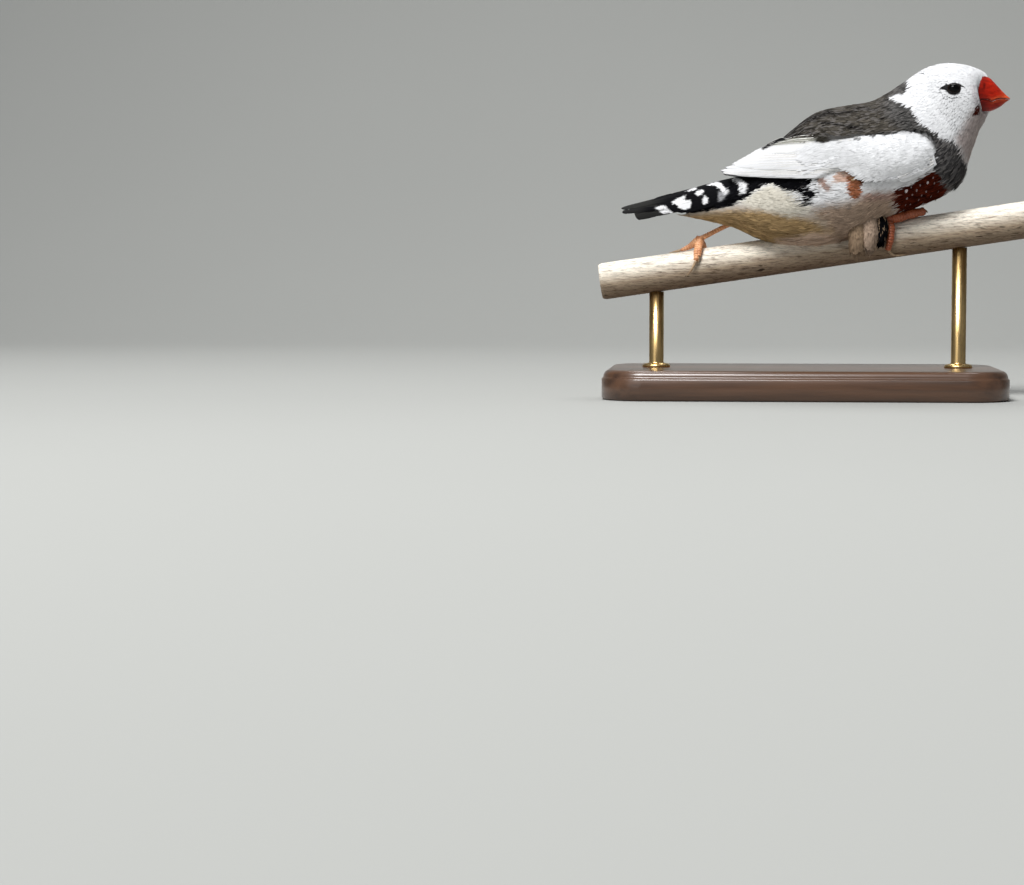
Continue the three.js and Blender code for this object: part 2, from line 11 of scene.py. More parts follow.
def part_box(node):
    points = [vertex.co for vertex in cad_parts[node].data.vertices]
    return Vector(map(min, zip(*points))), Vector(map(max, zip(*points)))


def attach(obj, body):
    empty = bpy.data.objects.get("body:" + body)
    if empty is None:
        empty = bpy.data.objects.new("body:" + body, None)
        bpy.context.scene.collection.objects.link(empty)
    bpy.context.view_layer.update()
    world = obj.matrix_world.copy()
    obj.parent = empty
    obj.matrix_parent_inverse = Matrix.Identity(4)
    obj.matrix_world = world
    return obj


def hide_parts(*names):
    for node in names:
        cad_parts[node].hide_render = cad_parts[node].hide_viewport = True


bl_info = {
    "name": "Zebra Finch Model",
    "version": (1, 0, 0),
    "blender": (4, 5, 0),
    "location": "View3D > Sidebar > Finch",
    "description": "Dresses the solids of a zebra finch in plumage, horn, scales, wood and brass",
    "category": "Object",
}

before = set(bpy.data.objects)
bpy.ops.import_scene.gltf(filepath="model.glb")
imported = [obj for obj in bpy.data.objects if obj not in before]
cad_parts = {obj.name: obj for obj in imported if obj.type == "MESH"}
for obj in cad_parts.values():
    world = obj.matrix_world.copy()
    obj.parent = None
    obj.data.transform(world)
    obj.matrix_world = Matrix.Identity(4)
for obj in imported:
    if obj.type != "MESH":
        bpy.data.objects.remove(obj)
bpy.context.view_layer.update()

# The bird is measured in millimetres in a frame of its own. Its origin lies below the body, level with the
# perch's axis. The bird faces +X, its right side faces -Y, and the perch's axis runs a little to its left.
MM = 0.001
PERCH_SIDE = 2.0
PERCH_LOW, PERCH_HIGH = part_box("perch")
ORIGIN = np.array((PERCH_LOW + PERCH_HIGH) / 2) / MM - np.array([0.0, PERCH_SIDE, 0.0])
PERCH_RADIUS = (PERCH_HIGH.y - PERCH_LOW.y) / 2 / MM
PERCH_LENGTH = 120.0
PERCH_SLOPE = math.radians(8.3)

# The photograph's size, its focal length in pixels, and where its camera stands in the bird's frame
PHOTO_SIZE = (1024, 885)
FOCAL_PIXELS = 2500.0
CAMERA_PLACE = np.array([-19.2, -686.1, -5.4])
CAMERA_PITCH = math.radians(86.05)
CAMERA_YAW = math.radians(5.37)
CAMERA_AXES = np.array(Matrix.Rotation(CAMERA_YAW, 3, "Z") @ Matrix.Rotation(CAMERA_PITCH, 3, "X"))

# Markings are measured in the photograph's plane, in millimetres from this pixel
START_PIXEL = (820, 250)
PIXEL = 0.27

# Cross-sections of the trunk from the vent to the bill: upper point, lower point (x, z), and half the width
TRUNK = (
    ((-35, 10.6), (-35.6, 9.2), 1.6), ((-29.5, 14.6), (-29.5, 7.9), 4.4), ((-23, 19.2), (-22.5, 6.1), 7.2),
    ((-17, 24.3), (-16.5, 3.2), 9.9), ((-9.2, 30.9), (-9, 1.3), 12.3), ((-1.2, 36.9), (-0.5, 1), 13.7),
    ((7.6, 38.9), (8.5, 2.8), 14), ((13.5, 39.9), (17.5, 8.1), 13.4), ((18, 42.1), (26.7, 11.8), 12.1),
    ((21.8, 44.6), (34.6, 15.4), 10.7), ((25, 46.8), (38.8, 21.2), 9.5), ((28.3, 48.8), (40.9, 27), 8.8),
    ((33, 50), (42.6, 32), 8.4), ((38.3, 49.6), (43.5, 35.2), 7.4), ((42.2, 48.3), (41.3, 37.7), 5.2),
    ((43.9, 46.7), (40.9, 38.5), 3.9),
)
# How far the chin's feathers stand forward and up from there under the bill, by the trunk's sections
CHIN_FORWARD = ((12, 0), (13, 0.8), (14, 3.6), (15, 5.6))
CHIN_UP = ((12, 0), (13, 0), (14, -1.2), (15, -1))
CHIN_SPREAD = 0.34
# And how far the forehead's feathers stand forward and up over the bill's ridge
BROW_FORWARD = ((13, 0), (14, 0.6), (15, 1.4))
BROW_UP = ((13, 0), (14, -0.2), (15, -0.6))
BROW_SPREAD = 0.5
# The bed under a folded wing, a little outside the trunk and drawn out to the wing's tip
WING_BED = (
    ((-28.5, 20.8), (-28.5, 11), 4.2), ((-22, 23.9), (-22, 8), 7.6), ((-16, 27.3), (-16, 4), 10.6),
    ((-9.2, 31.5), (-9, 2), 12.9), ((-1.2, 37.2), (-0.5, 1), 14.1), ((7.6, 39.2), (8.5, 2.8), 14.4),
    ((13.7, 40.2), (17.7, 8), 13.8), ((18.2, 42.4), (27, 11.5), 12.5), ((22, 45), (35, 15), 11.1),
    ((25.2, 47.2), (39.2, 20.8), 9.9),
)
# The arch under the tail's feathers: its ridge, the ridge mirrored below its edges, and half its width
TAIL_BED = (
    ((-54, 11.7), (-54, 6), 4.2), ((-45, 14.1), (-45, 3), 4.7), ((-36, 16.2), (-36, 1.6), 4.8),
    ((-28, 18.4), (-28, 4.4), 4.6), ((-18, 20.6), (-18, 9), 4.6),
)
BILL = (
    ((42.3, 47), (40.2, 36.7), 5), ((43.4, 46.9), (42.3, 36.7), 4.7), ((45.3, 45.95), (44.8, 37), 3.9),
    ((46.9, 44.35), (46.5, 37.5), 3), ((48.4, 42.75), (48.2, 38.4), 2.05), ((49.7, 41.45), (49.7, 39.6), 1.1),
    ((50.7, 40.6), (50.7, 40.25), 0.25),
)
MOUTH_LINE = (
    (41.2, 39.2), (42.8, 39.9), (43.8, 39.9), (44.7, 39.9), (45.4, 39.6), (46, 39.7), (47.1, 40.2),
    (48.4, 40.35), (49.7, 40.4), (51, 40.35),
)
NOSTRIL = {"x": 43.5, "z": 43.6, "long": 0.3, "high": 0.7, "depth": 0.15}
ROUNDNESS = 2.15

# The eye: its place in a side view, the ball, how deep its middle lies, and what the feathers leave bare
EYE_SITE = (35.1, 42.8)
EYE_RADIUS = 2.0
EYE_DEPTH = 1.05
EYE_BARE = (1.7, 1.25)
EYE_FLAT = 0.8
# Folds of bare skin beyond the eye's corners: their middle line in a side view, and half their width
EYE_CORNERS = (
    (((34, 42.95), (33.2, 43.05), (32.3, 42.95), (31.4, 42.75)), (0.85, 0.75, 0.42, 0.04)),
    (((36.4, 43.7), (37.4, 43.3), (38.2, 42.8)), (0.3, 0.16, 0.03)),
)

# The skin lies this deep under the tips of the plumage, from the vent to the bill, by the trunk's sections
COAT_DEPTH = ((0, 0.4), (3, 0.8), (8, 0.8), (11, 0.55), (13, 0.36), (15, 0.25))

# Wing: the muscled front that small coverts clothe, as its outline from the side, and how far it swells
WING_FRONT = (
    (31, 27), (30.6, 24.6), (28.6, 21.4), (22.5, 19.2), (15.5, 19.2), (11.5, 20.4), (8, 22.8), (0, 24.6),
    (-5, 26.8), (-5, 28), (4, 29.2), (14, 30.3), (21.5, 30.9), (27, 30.2), (30, 28.9),
)
WING_SWELL = 0.9
WING_OUTLINE = (
    (31, 27), (30.6, 24.6), (28.6, 20.8), (22.5, 18.4), (19, 17.8), (15.5, 18.6), (12, 19.8), (9, 23.2),
    (4, 23), (0, 20.8), (-4, 18.9), (-14, 19.8), (-26.3, 20.7), (-20, 25.2), (-13, 28.2), (-4, 29.2),
    (4, 29.6), (10, 30.4), (18, 31.4), (24, 31.8), (28, 31), (30, 29.4),
)
# The lines along which the back's and the flank's feathers cover the wing's edges, in the photograph's plane
WING_TOP = (
    (-14, 40), (-11.5, 31), (-9, 29.9), (-3, 30.1), (-1.8, 29.2), (4, 29.6), (10, 30.4), (13, 31), (18, 31.3),
    (22, 31.8), (26, 31.6), (28, 31), (29.5, 29.8), (31.3, 27),
)
WING_FOOT = ((-3, 10), (-1.5, 18.9), (0, 19.6), (2, 20.8), (4, 21.6), (8, 22), (10.6, 21.2), (11.6, 10))

# Tiers of long feathers: how many, the lowest to the highest one's roots and tips in a side view, the width at
# the tier's ends, the height over the bed at root and tip, the tilt from edge to edge, the axis's bend
Tier = namedtuple("Tier", "count roots tips width height tilt bend")
WING_TIERS = (
    Tier(7, ((21, 21.2), (14, 23.4)),
         ((-15, 19.9), (-20, 20.1), (-24.6, 20.5), (-26.6, 21.1), (-25.6, 22.1), (-23.6, 23.2)),
         (2.6, 3.8), (0.2, 0.1), 0.3, -0.5),
    Tier(8, ((18, 22.4), (13, 26.4)),
         ((-13.6, 21.8), (-22.4, 22.4), (-22.6, 23.9), (-20.6, 25.1), (-18.4, 26.2)),
         (3.4, 5.6), (0.4, 0.2), 0.14, 0.3),
    Tier(5, ((13, 26.6), (9, 29.2)), ((-17.4, 26.6), (-13.6, 28), (-9.6, 29.2)),
         (5.6, 5.6), (0.5, 0.26), 0.14, 0.6),
    Tier(4, ((30.2, 23.2), (29.6, 25.2)), ((20.6, 18.4), (20, 19.6), (21.6, 21.4)),
         (2.8, 3), (0.5, 0.7), 0.3, -0.3),
    Tier(2, ((-1.4, 30.5), (-1.4, 30.1)), ((-14, 28.1), (-13.4, 27.8)), (0.8, 1.6), (0.4, 0.3), 0, 1.1),
)
TAIL_TIERS = (
    Tier(7, ((-19, 15.4), (-19, 20)), ((-49.3, 9.2), (-49.8, 9.6), (-50, 10.2), (-50.3, 10.9), (-50.7, 11.8)),
         (3, 3.2), (-0.4, 0), 0.4, 0),
    Tier(6, ((-17.5, 16), (-17.5, 20.2)), ((-38.4, 10.5), (-41.6, 11.1), (-43.6, 12.2), (-45.4, 13.2)),
         (3.2, 3.6), (0.16, 0.1), 0.3, 0),
    Tier(2, ((-42, 11.2), (-34, 15.1)), ((-53.2, 10.2), (-53.5, 11.2)), (1.5, 2.4), (0.3, 0.05), 0.1, 0),
)

# Markings as the side view shows them, later ones over earlier ones: closed outlines, or strokes of a radius
Mark = namedtuple("Mark", "colour points soft radius", defaults=(None,))
MANTLE = (
    (23.3, 47), (23.5, 43.4), (22.8, 42.2), (21, 42), (19.6, 41.7), (18.8, 41.2), (20, 40.4), (21.6, 39.9),
    (23, 38.9), (24.6, 38), (25.5, 36.4), (26, 35.2), (27.4, 34), (28.8, 33), (30.6, 31.9), (32.2, 30.6),
    (31.8, 28.4), (30.4, 29), (28.6, 30.7), (26, 31.9), (20, 31.9), (13, 31), (4, 29.8), (-1.8, 29.3),
    (-10, 28.6), (-20, 23), (-28, 19), (-40, 24), (-20, 40), (10, 52),
)
BACK = (
    (20.5, 50), (19, 43), (17, 40), (18, 36), (21, 33.4), (24, 31), (10, 30), (-2, 29.2), (-12, 28),
    (-40, 24), (-20, 40), (10, 52),
)
BREAST = (
    (31.2, 30.6), (33.5, 30.2), (35.4, 29.4), (36.7, 28), (37.9, 26.2), (38.7, 24), (39.8, 21), (41.5, 18),
    (38, 14.4), (34.8, 15.8), (33.6, 17.6), (32.8, 19.8), (31.2, 21.2), (30, 22), (30.6, 26), (30.9, 28.6),
)
CHESTNUT = (
    (19.9, 16.2), (22, 17), (24.6, 17.6), (26.2, 18.6), (28, 20), (29.5, 21), (31.2, 21.4), (32.7, 20.2),
    (33.4, 18.2), (34.8, 16.6), (34, 12), (28, 8), (20.8, 8.4), (20.4, 12), (19.7, 14),
)
UNDER_WING = (
    (-40, 9.7), (-34, 9.9), (-30, 10.6), (-27, 11.3), (-24, 11.8), (-22, 12.9), (-20, 14.2), (-18, 15.8),
    (-16, 17.2), (-14, 18), (-12, 17.6), (-10, 16.4), (-7, 15.9), (-5, 15), (-4.4, 13.6), (-5.2, 11.2),
    (-3.4, 11.9), (-2, 13.7), (-0.6, 15.2), (-2.4, 16.4), (-3.2, 17.4), (-1.6, 18.8), (-4, 20.4), (-14, 21.4),
    (-20, 23), (-28, 19), (-40, 17),
)
VENT = (
    (-44, 9.8), (-34, 10.4), (-24, 11.6), (-16, 11.8), (-10, 10.8), (-4, 9.4), (0, 8.4), (3, 5), (0, -2),
    (-20, -2), (-44, 6),
)
CREAM = (
    (-22, 12.6), (-17, 16.4), (-13, 17.8), (-8.5, 15.6), (-5, 12.4), (-2, 11.6), (-3, 10.2), (-8, 8.8),
    (-12, 10), (-18, 11.4),
)
# Outline of the painted shade under the front belly
SHADED_BELLY = ((-3, 10.6), (2, 12.2), (8, 13), (13, 15.4), (20.4, 15.2), (21, 4), (12, -3), (2, 2), (1, 7))
LOBE = ((-12, 3), (-6, 3.6), (-2, 4.8), (3, 4.2), (5, 1), (0, -2), (-10, -2))
THROAT = (
    (36.6, 30.2), (38.6, 33.2), (40.6, 36.8), (42.2, 38.4), (46, 38), (44, 30), (41, 22), (38.8, 23.6),
    (38, 26.2), (37, 28.4),
)
FAWN = ((3.8, 18.1), (3.8, 20.4), (5, 21.2), (7.5, 21.4), (8.2, 20.8), (7.6, 18.4), (6, 18.2))
RUSSET = (
    (7.2, 18.6), (7.6, 20.8), (8.8, 21.6), (10.4, 21), (11.4, 19.8), (11.6, 18.2), (11, 17), (11.6, 15.6),
    (11.2, 14.4), (9.5, 13.6), (8, 14), (7.6, 16),
)
STREAKED = ((-6, 19.4), (1.2, 19.2), (1.6, 16.6), (8, 14.6), (9, 11.4), (-7, 10.4))
SCAPULAR = ((-1.8, 29.2), (-1.9, 30.6), (-0.6, 31.8), (1.2, 31.8), (2.4, 30.8), (2.6, 29.4), (1, 28.8))
BODY_MARKS = (
    # Painted shade: the front belly's underside, grey-brown
    Mark("belly", SHADED_BELLY, 2),
    Mark("vent", VENT, 2.4),
    Mark("cream", CREAM, 1.2),
    Mark("lobe", LOBE, 0.9),
    # The throat's own pinkish grey, partly painted shade
    Mark("throat", THROAT, 1.6),
    Mark("nape", MANTLE, 0.25),
    Mark("mantle", BACK, 2),
    Mark("black", ((-9.4, 30.8), (-6.4, 33.4), (-3.4, 35.2), (3, 37.4)), 1, 0.6),
    Mark("black", ((0.6, 34.6), (3.6, 34.3), (6.8, 33.6)), 0.6, 0.3),
    Mark("black", ((3.4, 36.6), (7, 37.3), (10.2, 37.6)), 0.7, 0.3),
    Mark("black", ((9.6, 38.6), (12.4, 38.4), (15.5, 37.6)), 0.7, 0.2),
    Mark("black", ((8.4, 33.4), (11.2, 32.4)), 0.8, 0.4),
    Mark("black", ((-7, 31.8), (-3.6, 32.8), (-1.2, 33)), 0.6, 0.2),
    Mark("scapular", SCAPULAR, 0.3),
    Mark("black", ((-13.6, 28.6), (-10.8, 30.1), (-7.2, 31.1), (-2.2, 31.5)), 0.3, 0.15),
    Mark("black", UNDER_WING, 0.3),
    Mark("chestnut", CHESTNUT, 0.3),
    Mark("breast", BREAST, 0.35),
    Mark("smudge", ((0.4, 19), (2, 16.8)), 0.8, 0.9),
    Mark("smudge", ((12.5, 14.2), (19.4, 14.6)), 1, 0.8),
    Mark("fawn", FAWN, 0.35),
    Mark("russet", RUSSET, 0.35),
    Mark("chestnut", ((10.3, 20.6), (11, 18.8)), 0.4, 0.45),
    # Painted highlight on the russet patch
    Mark("gold_highlight", ((8.9, 20.2), (9, 19)), 0.3, 0.3),
    Mark("lores", ((41.6, 44), (41.8, 41.6), (42.6, 39.4)), 1.1, 0.35),
    # Painted shade: the lower bill's shaded dark red base, painted on the feathers at the gape
    Mark("chestnut", ((41.3, 36), (41.7, 37.6), (42.3, 38.7), (43.2, 38.7), (43, 37), (42.3, 36.5)),
         0.25),
)
# The same painted shade at the gape, laid on each feather's own points
FACE_MARKS = (
    Mark("chestnut", ((41.4, 36), (41.8, 37.8), (42.4, 39), (43.2, 39), (43.1, 37), (42.3, 36.5)),
         0.2),
)
WING_MARKS = (
    # Painted shade on the white tertials that show below the back
    Mark("shaded_tertial", ((-13.4, 28.1), (-10.8, 29.8), (-7.2, 30.9), (-2, 31.3), (-1.8, 29.3), (-7.2, 28.6)),
         0.3),
    Mark("nape", ((-15, 27.8), (-10.8, 29.7), (-7.2, 30.6), (-2.2, 30.9), (-1.9, 30.4), (-1.8, 29.3),
                  (2.2, 29.3), (7.2, 30), (10.8, 30.7), (14.4, 31.2), (18, 31), (20.9, 31.6), (24.1, 32.4),
                  (26.3, 31.6), (28.8, 30.3), (30.6, 28.7), (31.3, 26.6), (36, 26.6), (36, 40), (-16, 40)),
         0.15),
    Mark("black", ((-15.4, 27.4), (-10.8, 29.7), (-7.2, 30.6), (-1.6, 30.8)), 0.2, 0.4),
    Mark("scapular", SCAPULAR, 0.3),
    Mark("crease", ((-21.6, 20.4), (-13, 21.9), (-6.5, 23.3)), 0.3, 0.05),
    Mark("crease", ((-12.6, 21.3), (-9.7, 21.1), (0, 21.9), (10.8, 22.7)), 0.35, 0.1),
)
# The flank's spots: where each shows from the side, its width, and how white it is
FLANK_SPOTS = (
    (22.9, 16.5, 1, 1), (28.6, 18.7, 0.8, 0.8), (25.7, 16.7, 0.7, 0.4), (23.2, 14.6, 0.7, 0.4),
    (28.3, 16.4, 0.6, 0.4), (26.5, 14.3, 0.7, 0.3), (27.8, 13.4, 0.6, 0.4), (24.3, 13.1, 0.6, 0.3),
    (25.3, 11.9, 0.6, 0.4), (29.8, 15.2, 0.6, 0.3), (31.6, 16.4, 0.6, 0.2), (31.4, 14.4, 0.5, 0.2),
    (30.4, 18.6, 0.6, 0.3), (22.6, 11.6, 0.6, 0.3), (24.6, 15.5, 0.6, 0.3), (29, 13, 0.5, 0.3),
    (26.6, 18, 0.6, 0.4), (24.2, 17.4, 0.5, 0.4), (27.2, 15.4, 0.6, 0.3), (30, 20, 0.6, 0.3),
    (23, 12.9, 0.5, 0.3), (26.2, 10.8, 0.5, 0.3), (28.6, 11.6, 0.5, 0.2), (32, 18.8, 0.6, 0.2),
)
WHITE_PATCHES = (
    Mark("white", ((2.4, 19.4), (3.4, 18.8)), 0.2, 0.5),
    Mark("white", ((4, 17.6), (7, 17.6)), 0.3, 0.3),
    Mark("white", ((11.6, 17.4), (12.6, 18)), 0.3, 0.3),
    Mark("white", ((12, 15.4), (13.4, 15.8)), 0.3, 0.3),
)
TAIL_BARS = (
    Mark("bar", ((-44.6, 11.3), (-43, 12), (-41.9, 12), (-41, 11), (-39.4, 10.1), (-42.7, 9.8),
                 (-43.4, 10.6)), 0.12),
    Mark("bar", ((-40.2, 12.8), (-38.8, 13.8), (-36.3, 14.7), (-36.4, 14.1), (-37.2, 13.6), (-35.3, 13.5),
                 (-34.8, 12.6), (-35.1, 11.4), (-36.5, 10.9), (-38, 11.2), (-38.8, 12.3)), 0.12),
    Mark("bar", ((-36.2, 15.8), (-34.2, 17), (-33.3, 16.8), (-33.6, 16.2)), 0.1),
    Mark("bar", ((-33.9, 15.1), (-32.7, 14.7), (-31.5, 15.4), (-31.4, 16.1), (-32.6, 16.2)), 0.1),
    Mark("bar", ((-31.9, 13), (-31.2, 12.1), (-30.2, 12.8), (-30.3, 14.1), (-31.2, 14.9)), 0.15),
    Mark("ash", ((-27.4, 15.8), (-27.5, 13), (-26.6, 13.2), (-25.4, 14.8), (-25.6, 15.4)), 0.3),
    Mark("bar", ((-30.8, 17.6), (-28.6, 18.3), (-26.9, 18.2), (-26.2, 17.3), (-24.9, 16), (-24.7, 15.3),
                 (-25.8, 14.9), (-26.9, 16.4), (-28.2, 17.4)), 0.12),
    Mark("bar", ((-24, 18.9), (-22.6, 19.4), (-21.3, 18.9), (-20.1, 17.8), (-19.8, 16.6), (-20.4, 15.2),
                 (-21.6, 14.9), (-22, 15.8), (-21.9, 17.2), (-22.4, 18.2)), 0.15),
)
SPOTS = FACE_MARKS + WHITE_PATCHES + TAIL_BARS
# Where the plumage's colours meet along a clean line
CALM = (
    ((-15, 27.5), (-15, 31.5), (14, 32), (14, 29)),
    ((2, 13), (2, 22), (13, 22), (13, 13)),
)
CALM_SHARE = 0.25

# Legs: each toe is a route over the perch, as (along its axis, degrees from its top to the right, height).
# Its claw goes on from there, and its girth and taper follow.
FEET = {
    "right": ((19, 40, 2.2), (
        (((21.8, 34, 1.7), (25.6, 25, 1.6), (29.8, 15, 1.4)), ((30.2, 12, 1.1), (30.4, 9, 0.8)), 1.4, 0.2),
        (((20.6, 6, 1.5), (22.4, -26, 1.3), (23.6, -50, 1.2)), ((25, -70, 1.1), (25.8, -88, 0.4)), 1, 0.3),
        (((19.8, 60, 1.6), (19.2, 90, 1.35), (18.2, 116, 1.15)), ((19.8, 138, 0.8), (23.6, 152, 0.4)),
         1.15, 0.3),
        (((16.6, 20, 1.6), (13.8, -6, 1.3)), ((11.6, -30, 1.2), (10.4, -54, 0.4)), 1, 0.3),
    )),
    "left": ((-31.4, 8, 2.7), (
        (((-31, -26, 1.5), (-30.2, -62, 1.2), (-29.8, -98, 1.15)), ((-30.4, -128, 1.1), (-31.4, -150, 0.4)),
         1, 0.3),
        (((-31.9, 38, 1.4), (-32.4, 62, 1)), ((-32.6, 72, 0.8), (-33, 82, 0.35)), 0.95, 0.35),
        (((-32.5, 38, 1.4), (-33.2, 72, 1.05)), ((-34.8, 94, 0.8), (-36.6, 114, 0.3)), 1, 0.35),
        (((-33.6, 6, 1.4), (-35.4, 8, 0.75), (-37.2, 10, 0.45)), ((-38.6, 11, 0.35), (-40.4, 12, 0.2)),
         1.3, 0.78),
    )),
}
THIGHS = {
    "right": (((10.1, -2, 11.5), (10.2, -5.2, 7.2), (10.2, -6.6, 3.4), (10.1, -7, 1.3), (10.1, -6.9, -0.1)),
              (3.4, 2.8, 2.6, 2.5, 2.1)),
    "left": (((-10, 5, 11), (-15.5, 4.8, 9.6), (-20.5, 4.4, 8.6)), (4.2, 3, 1.6)),
}
# Loose tufts beside the right thigh: their feathers' colour, their limb, and the share of the thigh's colour
# The knee tuft wears the belly's painted shade, and the black shade tuft is a painted shadow before the front
# foot
HANGING_TUFTS = {
    "knee": ("belly",
             ((12.4, -2.5, 11), (13.1, -5.4, 7.4), (13.3, -6.6, 4.2), (13.2, -6.9, 2.2), (13.1, -6.8, 1.1)),
             (2.8, 2.5, 2.5, 2.4, 2), 0),
    "shade": ("black", ((15.9, -2.6, 9.8), (16.2, -4.6, 7), (16.2, -5.6, 4.4), (16, -5.9, 2.2)),
              (2.2, 2.2, 2.1, 1.6), 0.14),
}
# A shank's upper end and knee bend, and the way its scutes face
SHANKS = {
    "right": (((12.6, -5.6, 2.6), (15.8, -5, 5)), (1, 0, 0)),
    "left": (((-17.5, 4.4, 9.6), (-24.6, 3.2, 6.8)), (0, 0, 1)),
}
TOE_RADIUS = 0.85
CLAW_RADIUS = 0.42
JOINT_RADIUS = 1.15
SHANK_RADIUS = 0.6
# Painted shade: the front foot stands in the breast's red shade, so its colours are darker and redder
LEG_SHADES = {"right": (0.44, 0.22, 0.16), "left": (1.0, 1.0, 1.0)}


# Settings

def colour_setting(label, words, value):
    return bpy.props.FloatVectorProperty(name=label, description=words, default=value, subtype="COLOR",
                                         size=3, min=0.0, max=1.0)


def size_setting(label, words, value, low, high):
    return bpy.props.FloatProperty(name=label, description=words, default=value, min=low, max=high,
                                   unit="LENGTH", precision=4)


class PlumageSettings(bpy.types.PropertyGroup):
    wisps: bpy.props.IntProperty(name="Loose feathers", default=900, min=10, max=2000,
                                 description="How many long loose feathers lie on the flanks")
    pitch: size_setting("Feather spacing", "Distance between small body feathers", 0.00098, 0.0008, 0.004)
    length: size_setting("Feather length", "Length of the small feathers on the body", 0.0046, 0.001, 0.01)
    white: colour_setting("White", "Head, wings and belly", (0.77, 0.775, 0.79))
    # The throat colour is partly the throat's own pinkish grey and partly painted shade
    throat: colour_setting("Throat", "Thin plumage of the throat", (0.45, 0.385, 0.37))
    # The belly colour is painted shade, grey-brown, for the front belly's underside and the knee's tuft
    belly: colour_setting("Belly", "Grey-brown shade of the front belly", (0.38, 0.28, 0.21))
    lobe: colour_setting("Lobe", "Loose feathers under the belly", (0.62, 0.47, 0.36))
    mantle: colour_setting("Mantle", "Back and scapulars", (0.056, 0.050, 0.042))
    nape: colour_setting("Nape", "Nape and the sides of the neck", (0.062, 0.060, 0.058))
    black: colour_setting("Black", "Rump, tail and the band under the wing", (0.004, 0.004, 0.005))
    breast: colour_setting("Breast", "Dark patch on the breast", (0.055, 0.052, 0.053))
    chestnut: colour_setting("Chestnut", "Spotted flank", (0.060, 0.009, 0.004))
    russet: colour_setting("Russet", "Small patch in front of the thigh", (0.27, 0.10, 0.05))
    fawn: colour_setting("Fawn", "Pale brown round the small patch", (0.56, 0.385, 0.31))
    # The gold colour is a painted highlight on the small patch's edge
    gold_highlight: colour_setting("Gold", "Bright edge in the small patch", (0.85, 0.60, 0.36))
    vent: colour_setting("Vent", "Buff of the vent and the rear belly", (0.39, 0.265, 0.13))
    cream: colour_setting("Cream", "Pale side of the vent", (0.68, 0.64, 0.55))
    scapular: colour_setting("Scapular", "Dark feathers at the edge of the back", (0.022, 0.020, 0.016))
    # The thigh colour is painted shade: the thighs' loose off-white feathers, tan in their shade
    thigh: colour_setting("Thigh", "Loose feathers of the thighs", (0.27, 0.19, 0.125))
    crease: colour_setting("Crease", "Shade between the wing's feathers", (0.50, 0.50, 0.49))
    rectrix: colour_setting("Rectrix", "Dark grey ends of the tail's long feathers", (0.021, 0.021, 0.020))
    # The tertial colour is painted shade: white tertials below the back, dark grey in their shade
    shaded_tertial: colour_setting("Tertial", "Pale upper edge of the wing behind the back", (0.21, 0.21, 0.18))
    smudge: colour_setting("Smudge", "Brownish feathers beside the patches", (0.34, 0.22, 0.18))
    lores: colour_setting("Lores", "Greyish feathers before the eye and at the bill", (0.52, 0.47, 0.49))
    bar: colour_setting("Bars", "White bars of the tail coverts", (0.74, 0.74, 0.75))
    ash: colour_setting("Ash", "Grey end of a bar", (0.28, 0.28, 0.29))


class HeadSettings(bpy.types.PropertyGroup):
    bill: colour_setting("Bill", "Horn of the bill", (0.47, 0.018, 0.006))
    # Painted highlight: orange at the bill's tip and along the mouth's edge
    bill_highlight: colour_setting("Bill highlight", "Orange edges of the bill", (0.88, 0.14, 0.045))
    # Painted shade: dark red at the bill's base, in the mouth's cleft, in the nostrils and over the lower half
    bill_base: colour_setting("Bill base", "Dark root of the bill", (0.13, 0.006, 0.004))
    iris: colour_setting("Iris", "Ring round the pupil", (0.018, 0.007, 0.004))
    opening: size_setting("Eye opening", "Half the length of the opened lids", 0.00172, 0.001, 0.0024)


class LegSettings(bpy.types.PropertyGroup):
    scale: colour_setting("Scales", "Scales of the shanks and toes", (0.78, 0.40, 0.20))
    deep: colour_setting("Creases", "Skin between the scales", (0.52, 0.20, 0.085))
    claw: colour_setting("Claws", "Horn of the claws", (0.50, 0.36, 0.22))
    spacing: size_setting("Scale spacing", "Distance from scale to scale", 0.00078, 0.0004, 0.003)


class MountSettings(bpy.types.PropertyGroup):
    wood: colour_setting("Perch wood", "Bare wood of the perch", (0.80, 0.73, 0.63))
    grain: colour_setting("Perch grain", "Dark streaks in the perch", (0.21, 0.145, 0.092))
    base: colour_setting("Base wood", "Stained wood of the base", (0.085, 0.040, 0.020))
    brass: colour_setting("Rods", "Brass of the rods", (0.72, 0.50, 0.22))
    bevel: size_setting("Base bevel", "Rounding of the base's edges", 0.0012, 0.0004, 0.003)


class StageSettings(bpy.types.PropertyGroup):
    floor: colour_setting("Floor", "Floor and backdrop", (0.36, 0.365, 0.35))
    key: bpy.props.FloatProperty(name="Key light", description="Power of the key light", default=13.0,
                                 min=0.0, unit="POWER")


# Shapes

def in_place(points):
    """Points of the bird's frame, in millimetres, as metres in the model's frame."""
    return (np.asarray(points, float) + ORIGIN) * MM


def unit(vectors):
    return vectors / np.maximum(np.linalg.norm(vectors, axis=-1, keepdims=True), 1e-12)


def blend(low, high, share):
    return low + (high - low) * share


def smooth_step(low, high, value):
    share = np.clip((value - low) / (high - low), 0.0, 1.0)
    return share * share * (3 - 2 * share)


def rounded(value, power=2 / ROUNDNESS):
    return np.sign(value) * np.abs(value) ** power


def follow(rows, place):
    """The value that a table of places and values gives for a place."""
    return np.interp(place, *zip(*rows))


def turns(count):
    """Evenly spaced angles once round a circle."""
    return np.linspace(0, 2 * np.pi, count, endpoint=False)


def side_view(points):
    return np.stack([points[..., 0], points[..., 2]], -1)

